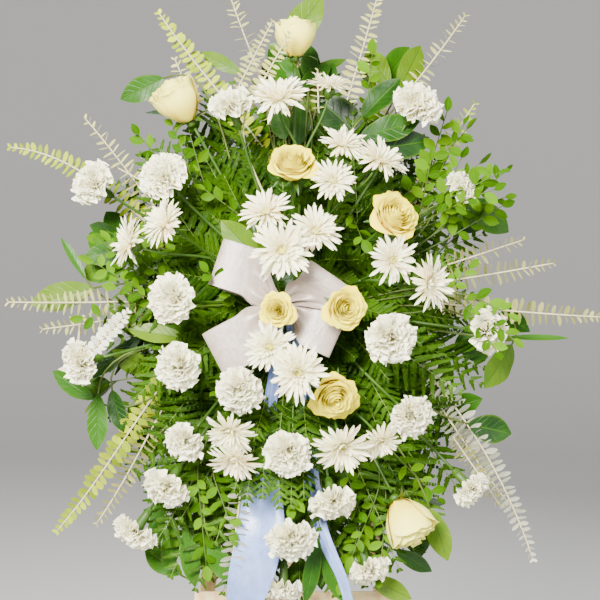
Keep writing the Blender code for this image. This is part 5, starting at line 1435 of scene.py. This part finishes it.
class SPRAY_OT_ferns(MakesPieces, bpy.types.Operator):
    """Makes the fronds: the three bunches among the solids, and the bed of fern that fills the spray"""

    bl_idname = "spray.ferns"
    bl_label = "Ferns"

    def make(self, scene):
        green = scene.spray_leaves
        finishes = (
            leaf_finish("fern_leaflet", green.fern_dark, green.fern_light, green.fern_light, roughness=0.48,
                        side_veins=3, slant=1.0, relief=0.15),
            stalk_finish("fern_rib", green.fern_rib, green.fern_rib_light),
        )
        for name, (root, *tips) in FERNS.items():
            node = f"fern_{name}"
            surface = Surface(node)
            for tip in tips:
                frond(surface, stem_curve(place(*root), place(*tip)), FROND_LENGTH)
            surface.piece(f"{node}_fronds", finishes, "fern_fronds", node)
        surface = Surface("hanging fronds")
        for root, tip in map(ends, HANGING_FRONDS):
            path = curve(root, TOWARDS_VIEWER, tip, unit(tip - root), FROND_STEPS)
            frond(surface, path, HANGING_FROND_LENGTH, pinnae=12, leaflets=10, width=0.40, lime=0.1)
        surface.piece("hanging_fern_fronds", finishes, "fern_fronds")
        surface = Surface("lower fronds")
        for tip in LOWER_FRONDS:
            tip = place(*tip)
            root = point(tip[0] * 0.25, FOAM_FRONT * 0.7, LOWER_ROOT_UP)
            frond(surface, curve(root, tip - root, tip, tip - root, FROND_STEPS), LOWER_FROND_LENGTH)
        surface.piece("lower_fern_fronds", finishes, "fern_fronds")
        for number, rank in enumerate(FERN_RANKS):
            surface = Surface(f"fern bed {number}")
            fern_rank(surface, green.fronds, *rank)
            surface.piece(f"fern_bed_{number + 1}", finishes, "fern_fronds")


class SPRAY_OT_huckleberry(MakesPieces, bpy.types.Operator):
    """Makes the huckleberry: lime sprigs of small pointed leaves"""

    bl_idname = "spray.huckleberry"
    bl_label = "Huckleberry"

    def make(self, scene):
        green = scene.spray_leaves
        finishes = (
            leaf_finish("huckleberry_leaf", green.lime_dark, green.lime_light, green.lime_light,
                        roughness=0.40, gloss=0.03, side_veins=6, relief=0.35),
            stalk_finish("huckleberry_stalk", green.lime_stalk, green.lime_stalk_light),
        )
        for name, (root, *tips) in HUCKLEBERRY.items():
            node = f"huckleberry_{name}"
            surface = Surface(node)
            for tip in tips:
                broad_stem(surface, stem_curve(place(*root), place(*tip)), BARE_STEM, HUCKLEBERRY_PITCH,
                           HUCKLEBERRY_LEAF, HUCKLEBERRY_STALK, spread=0.6)
            surface.piece(f"{node}_leaves", finishes, "huckleberry_leaves", node)
        surface = Surface("huckleberry fill")
        for row in HUCKLEBERRY_FILL:
            path, start = sprig_path(*ends(row))
            broad_stem(surface, path, start, HUCKLEBERRY_FILL_PITCH, HUCKLEBERRY_LEAF,
                       HUCKLEBERRY_FILL_STALK)
        surface.piece("huckleberry_fill", finishes, "huckleberry_leaves")


class SPRAY_OT_ribbon(MakesPieces, bpy.types.Operator):
    """Makes the bow with its band and pick, and the two tails"""

    bl_idname = "spray.ribbon"
    bl_label = "Ribbon"

    def make(self, scene):
        ribbon, easel = scene.spray_ribbon, scene.spray_easel
        satin = (satin_finish("ribbon_satin", ribbon.satin, ribbon.shadow),)
        # The tails' finish paints a blue reflection into the satin's colour
        painted_reflection_finish = (satin_finish("tail_satin", ribbon.tail, ribbon.tail_shadow),)
        wood = (wood_finish("pick_wood", easel.wood_pale, easel.wood_dark),)
        pick = curve(KNOT, -TOWARDS_VIEWER, FOAM_MIDDLE + TOWARDS_VIEWER * 0.02, -TOWARDS_VIEWER, 8)
        bow, length = self.satin_piece("bow_loops", [bow_loop(*loop) for loop in LOOPS], satin, "bow")
        band, length = self.satin_piece("bow_band", [knot_band()], satin)
        surface = Surface("bow_pick")
        surface.add(tube(pick, *PICK_RADII, 8), closed=True)
        surface.piece("bow_pick", wood, "easel_wood")
        tails = (("ribbon_tail_left", TAIL_LEFT, ribbon.pleats / 2),
                 ("ribbon_tail_right", TAIL_RIGHT, ribbon.pleats))
        for node, stations, pleats in tails:
            made, length = self.satin_piece(f"{node}_satin", [tail(stations, pleats)], painted_reflection_finish, node)

    def satin_piece(self, name, grids, finishes, *replaced):
        """A piece of ribbon, and the length of the middle lines of its grids."""
        surface = Surface(name)
        for grid in grids:
            surface.add(grid)
        made = surface.piece(name, finishes, "satin_ribbon", *replaced)
        return made, sum(developed(grid) for grid in grids)


class SPRAY_OT_stage(MakesPieces, bpy.types.Operator):
    """Makes the floor, the soft lights and the camera at the photograph's angle"""

    bl_idname = "spray.stage"
    bl_label = "Floor, lights and camera"

    # The camera and the lights look at this place in the spray, in millimetres
    middle = (9, 120, 1139)
    sensor = 36.0
    # Each light: its place, size and colour
    lights = {
        "key": ((-0.9, -2.9, 2.6), 1.1, (1.0, 0.97, 0.92)),
        "fill": ((2.1, -2.2, 1.7), 2.2, (0.98, 0.98, 1.0)),
        "back": ((0.9, 2.2, 2.8), 1.8, (1.0, 1.0, 1.0)),
    }

    def make(self, scene):
        stage = scene.spray_stage
        sweep = np.linspace(0, math.pi / 2, 12)
        radii = np.concatenate(((0.001,), stage.floor_radius + stage.sweep * np.sin(sweep)))
        heights = np.concatenate(((0.0,), stage.sweep * (1 - np.cos(sweep))))
        grid = turned(radii[::-1], heights[::-1], 96)[0]
        index = np.arange(grid.size // 3).reshape(grid.shape[:2])
        beside = np.roll(index, -1, axis=1)
        quads = np.stack((index[:-1], beside[:-1], beside[1:], index[1:]), axis=-1).reshape(-1, 4)
        mesh = bpy.data.meshes.new("floor")
        mesh.from_pydata(grid.reshape(-1, 3).tolist(), [], quads[:, ::-1].tolist())
        mesh.shade_smooth()
        mesh.materials.append(floor_finish("floor_pale", stage.floor))
        self.put(scene, "floor", mesh)

        world = bpy.data.worlds.new("surroundings")
        world.use_nodes = True
        background = world.node_tree.nodes["Background"]
        background.inputs["Color"].default_value = (*stage.sky, 1)
        background.inputs["Strength"].default_value = stage.sky_strength
        scene.world = world

        target = Vector(in_world(place(*self.middle)))
        for name, (at, size, shade) in self.lights.items():
            lamp = bpy.data.lights.new(f"{name}_light", "AREA")
            lamp.energy = getattr(stage, f"{name}_power")
            lamp.size = size
            lamp.color = shade
            made = self.put(scene, f"{name}_light", lamp)
            made.location = at
            made.rotation_euler = (target - Vector(at)).to_track_quat("-Z", "Y").to_euler()

        camera = bpy.data.cameras.new("camera")
        camera.lens = stage.lens
        camera.sensor_width = self.sensor
        made = self.put(scene, "camera", camera)
        made.rotation_euler = (math.pi / 2 - stage.tilt, 0, 0)
        ahead = Vector((0, math.cos(stage.tilt), -math.sin(stage.tilt)))
        made.location = target - ahead * stage.camera_distance
        scene.camera = made

    def put(self, scene, name, data):
        """A new object in the scene."""
        made = bpy.data.objects.new(name, data)
        scene.collection.objects.link(made)
        return made


OPERATORS = (SPRAY_OT_stage, SPRAY_OT_easel, SPRAY_OT_eucalyptus, SPRAY_OT_lemon_leaves, SPRAY_OT_ferns,
             SPRAY_OT_huckleberry, SPRAY_OT_carnations, SPRAY_OT_roses, SPRAY_OT_chrysanthemums,
             SPRAY_OT_ribbon)


class SPRAY_PT_panel(bpy.types.Panel):
    """The spray's sizes, colours and pieces"""

    bl_idname = "SPRAY_PT_panel"
    bl_label = "Standing spray"
    bl_space_type = "VIEW_3D"
    bl_region_type = "UI"
    bl_category = "Spray"

    def draw(self, context):
        for name, group in SETTINGS.items():
            box = self.layout.box()
            for prop in group.__annotations__:
                box.prop(getattr(context.scene, name), prop)
        for operator in OPERATORS:
            self.layout.operator(operator.bl_idname)


def register():
    for group in (*SETTINGS.values(), *OPERATORS, SPRAY_PT_panel):
        bpy.utils.register_class(group)
    for name, group in SETTINGS.items():
        setattr(bpy.types.Scene, name, PointerProperty(type=group))


def unregister():
    for name in SETTINGS:
        delattr(bpy.types.Scene, name)
    for group in reversed((*SETTINGS.values(), *OPERATORS, SPRAY_PT_panel)):
        bpy.utils.unregister_class(group)


def main():
    """Makes every piece in order."""
    register()
    for operator in OPERATORS:
        family, action = operator.bl_idname.split(".")
        getattr(getattr(bpy.ops, family), action)()


if __name__ == "__main__":
    main()
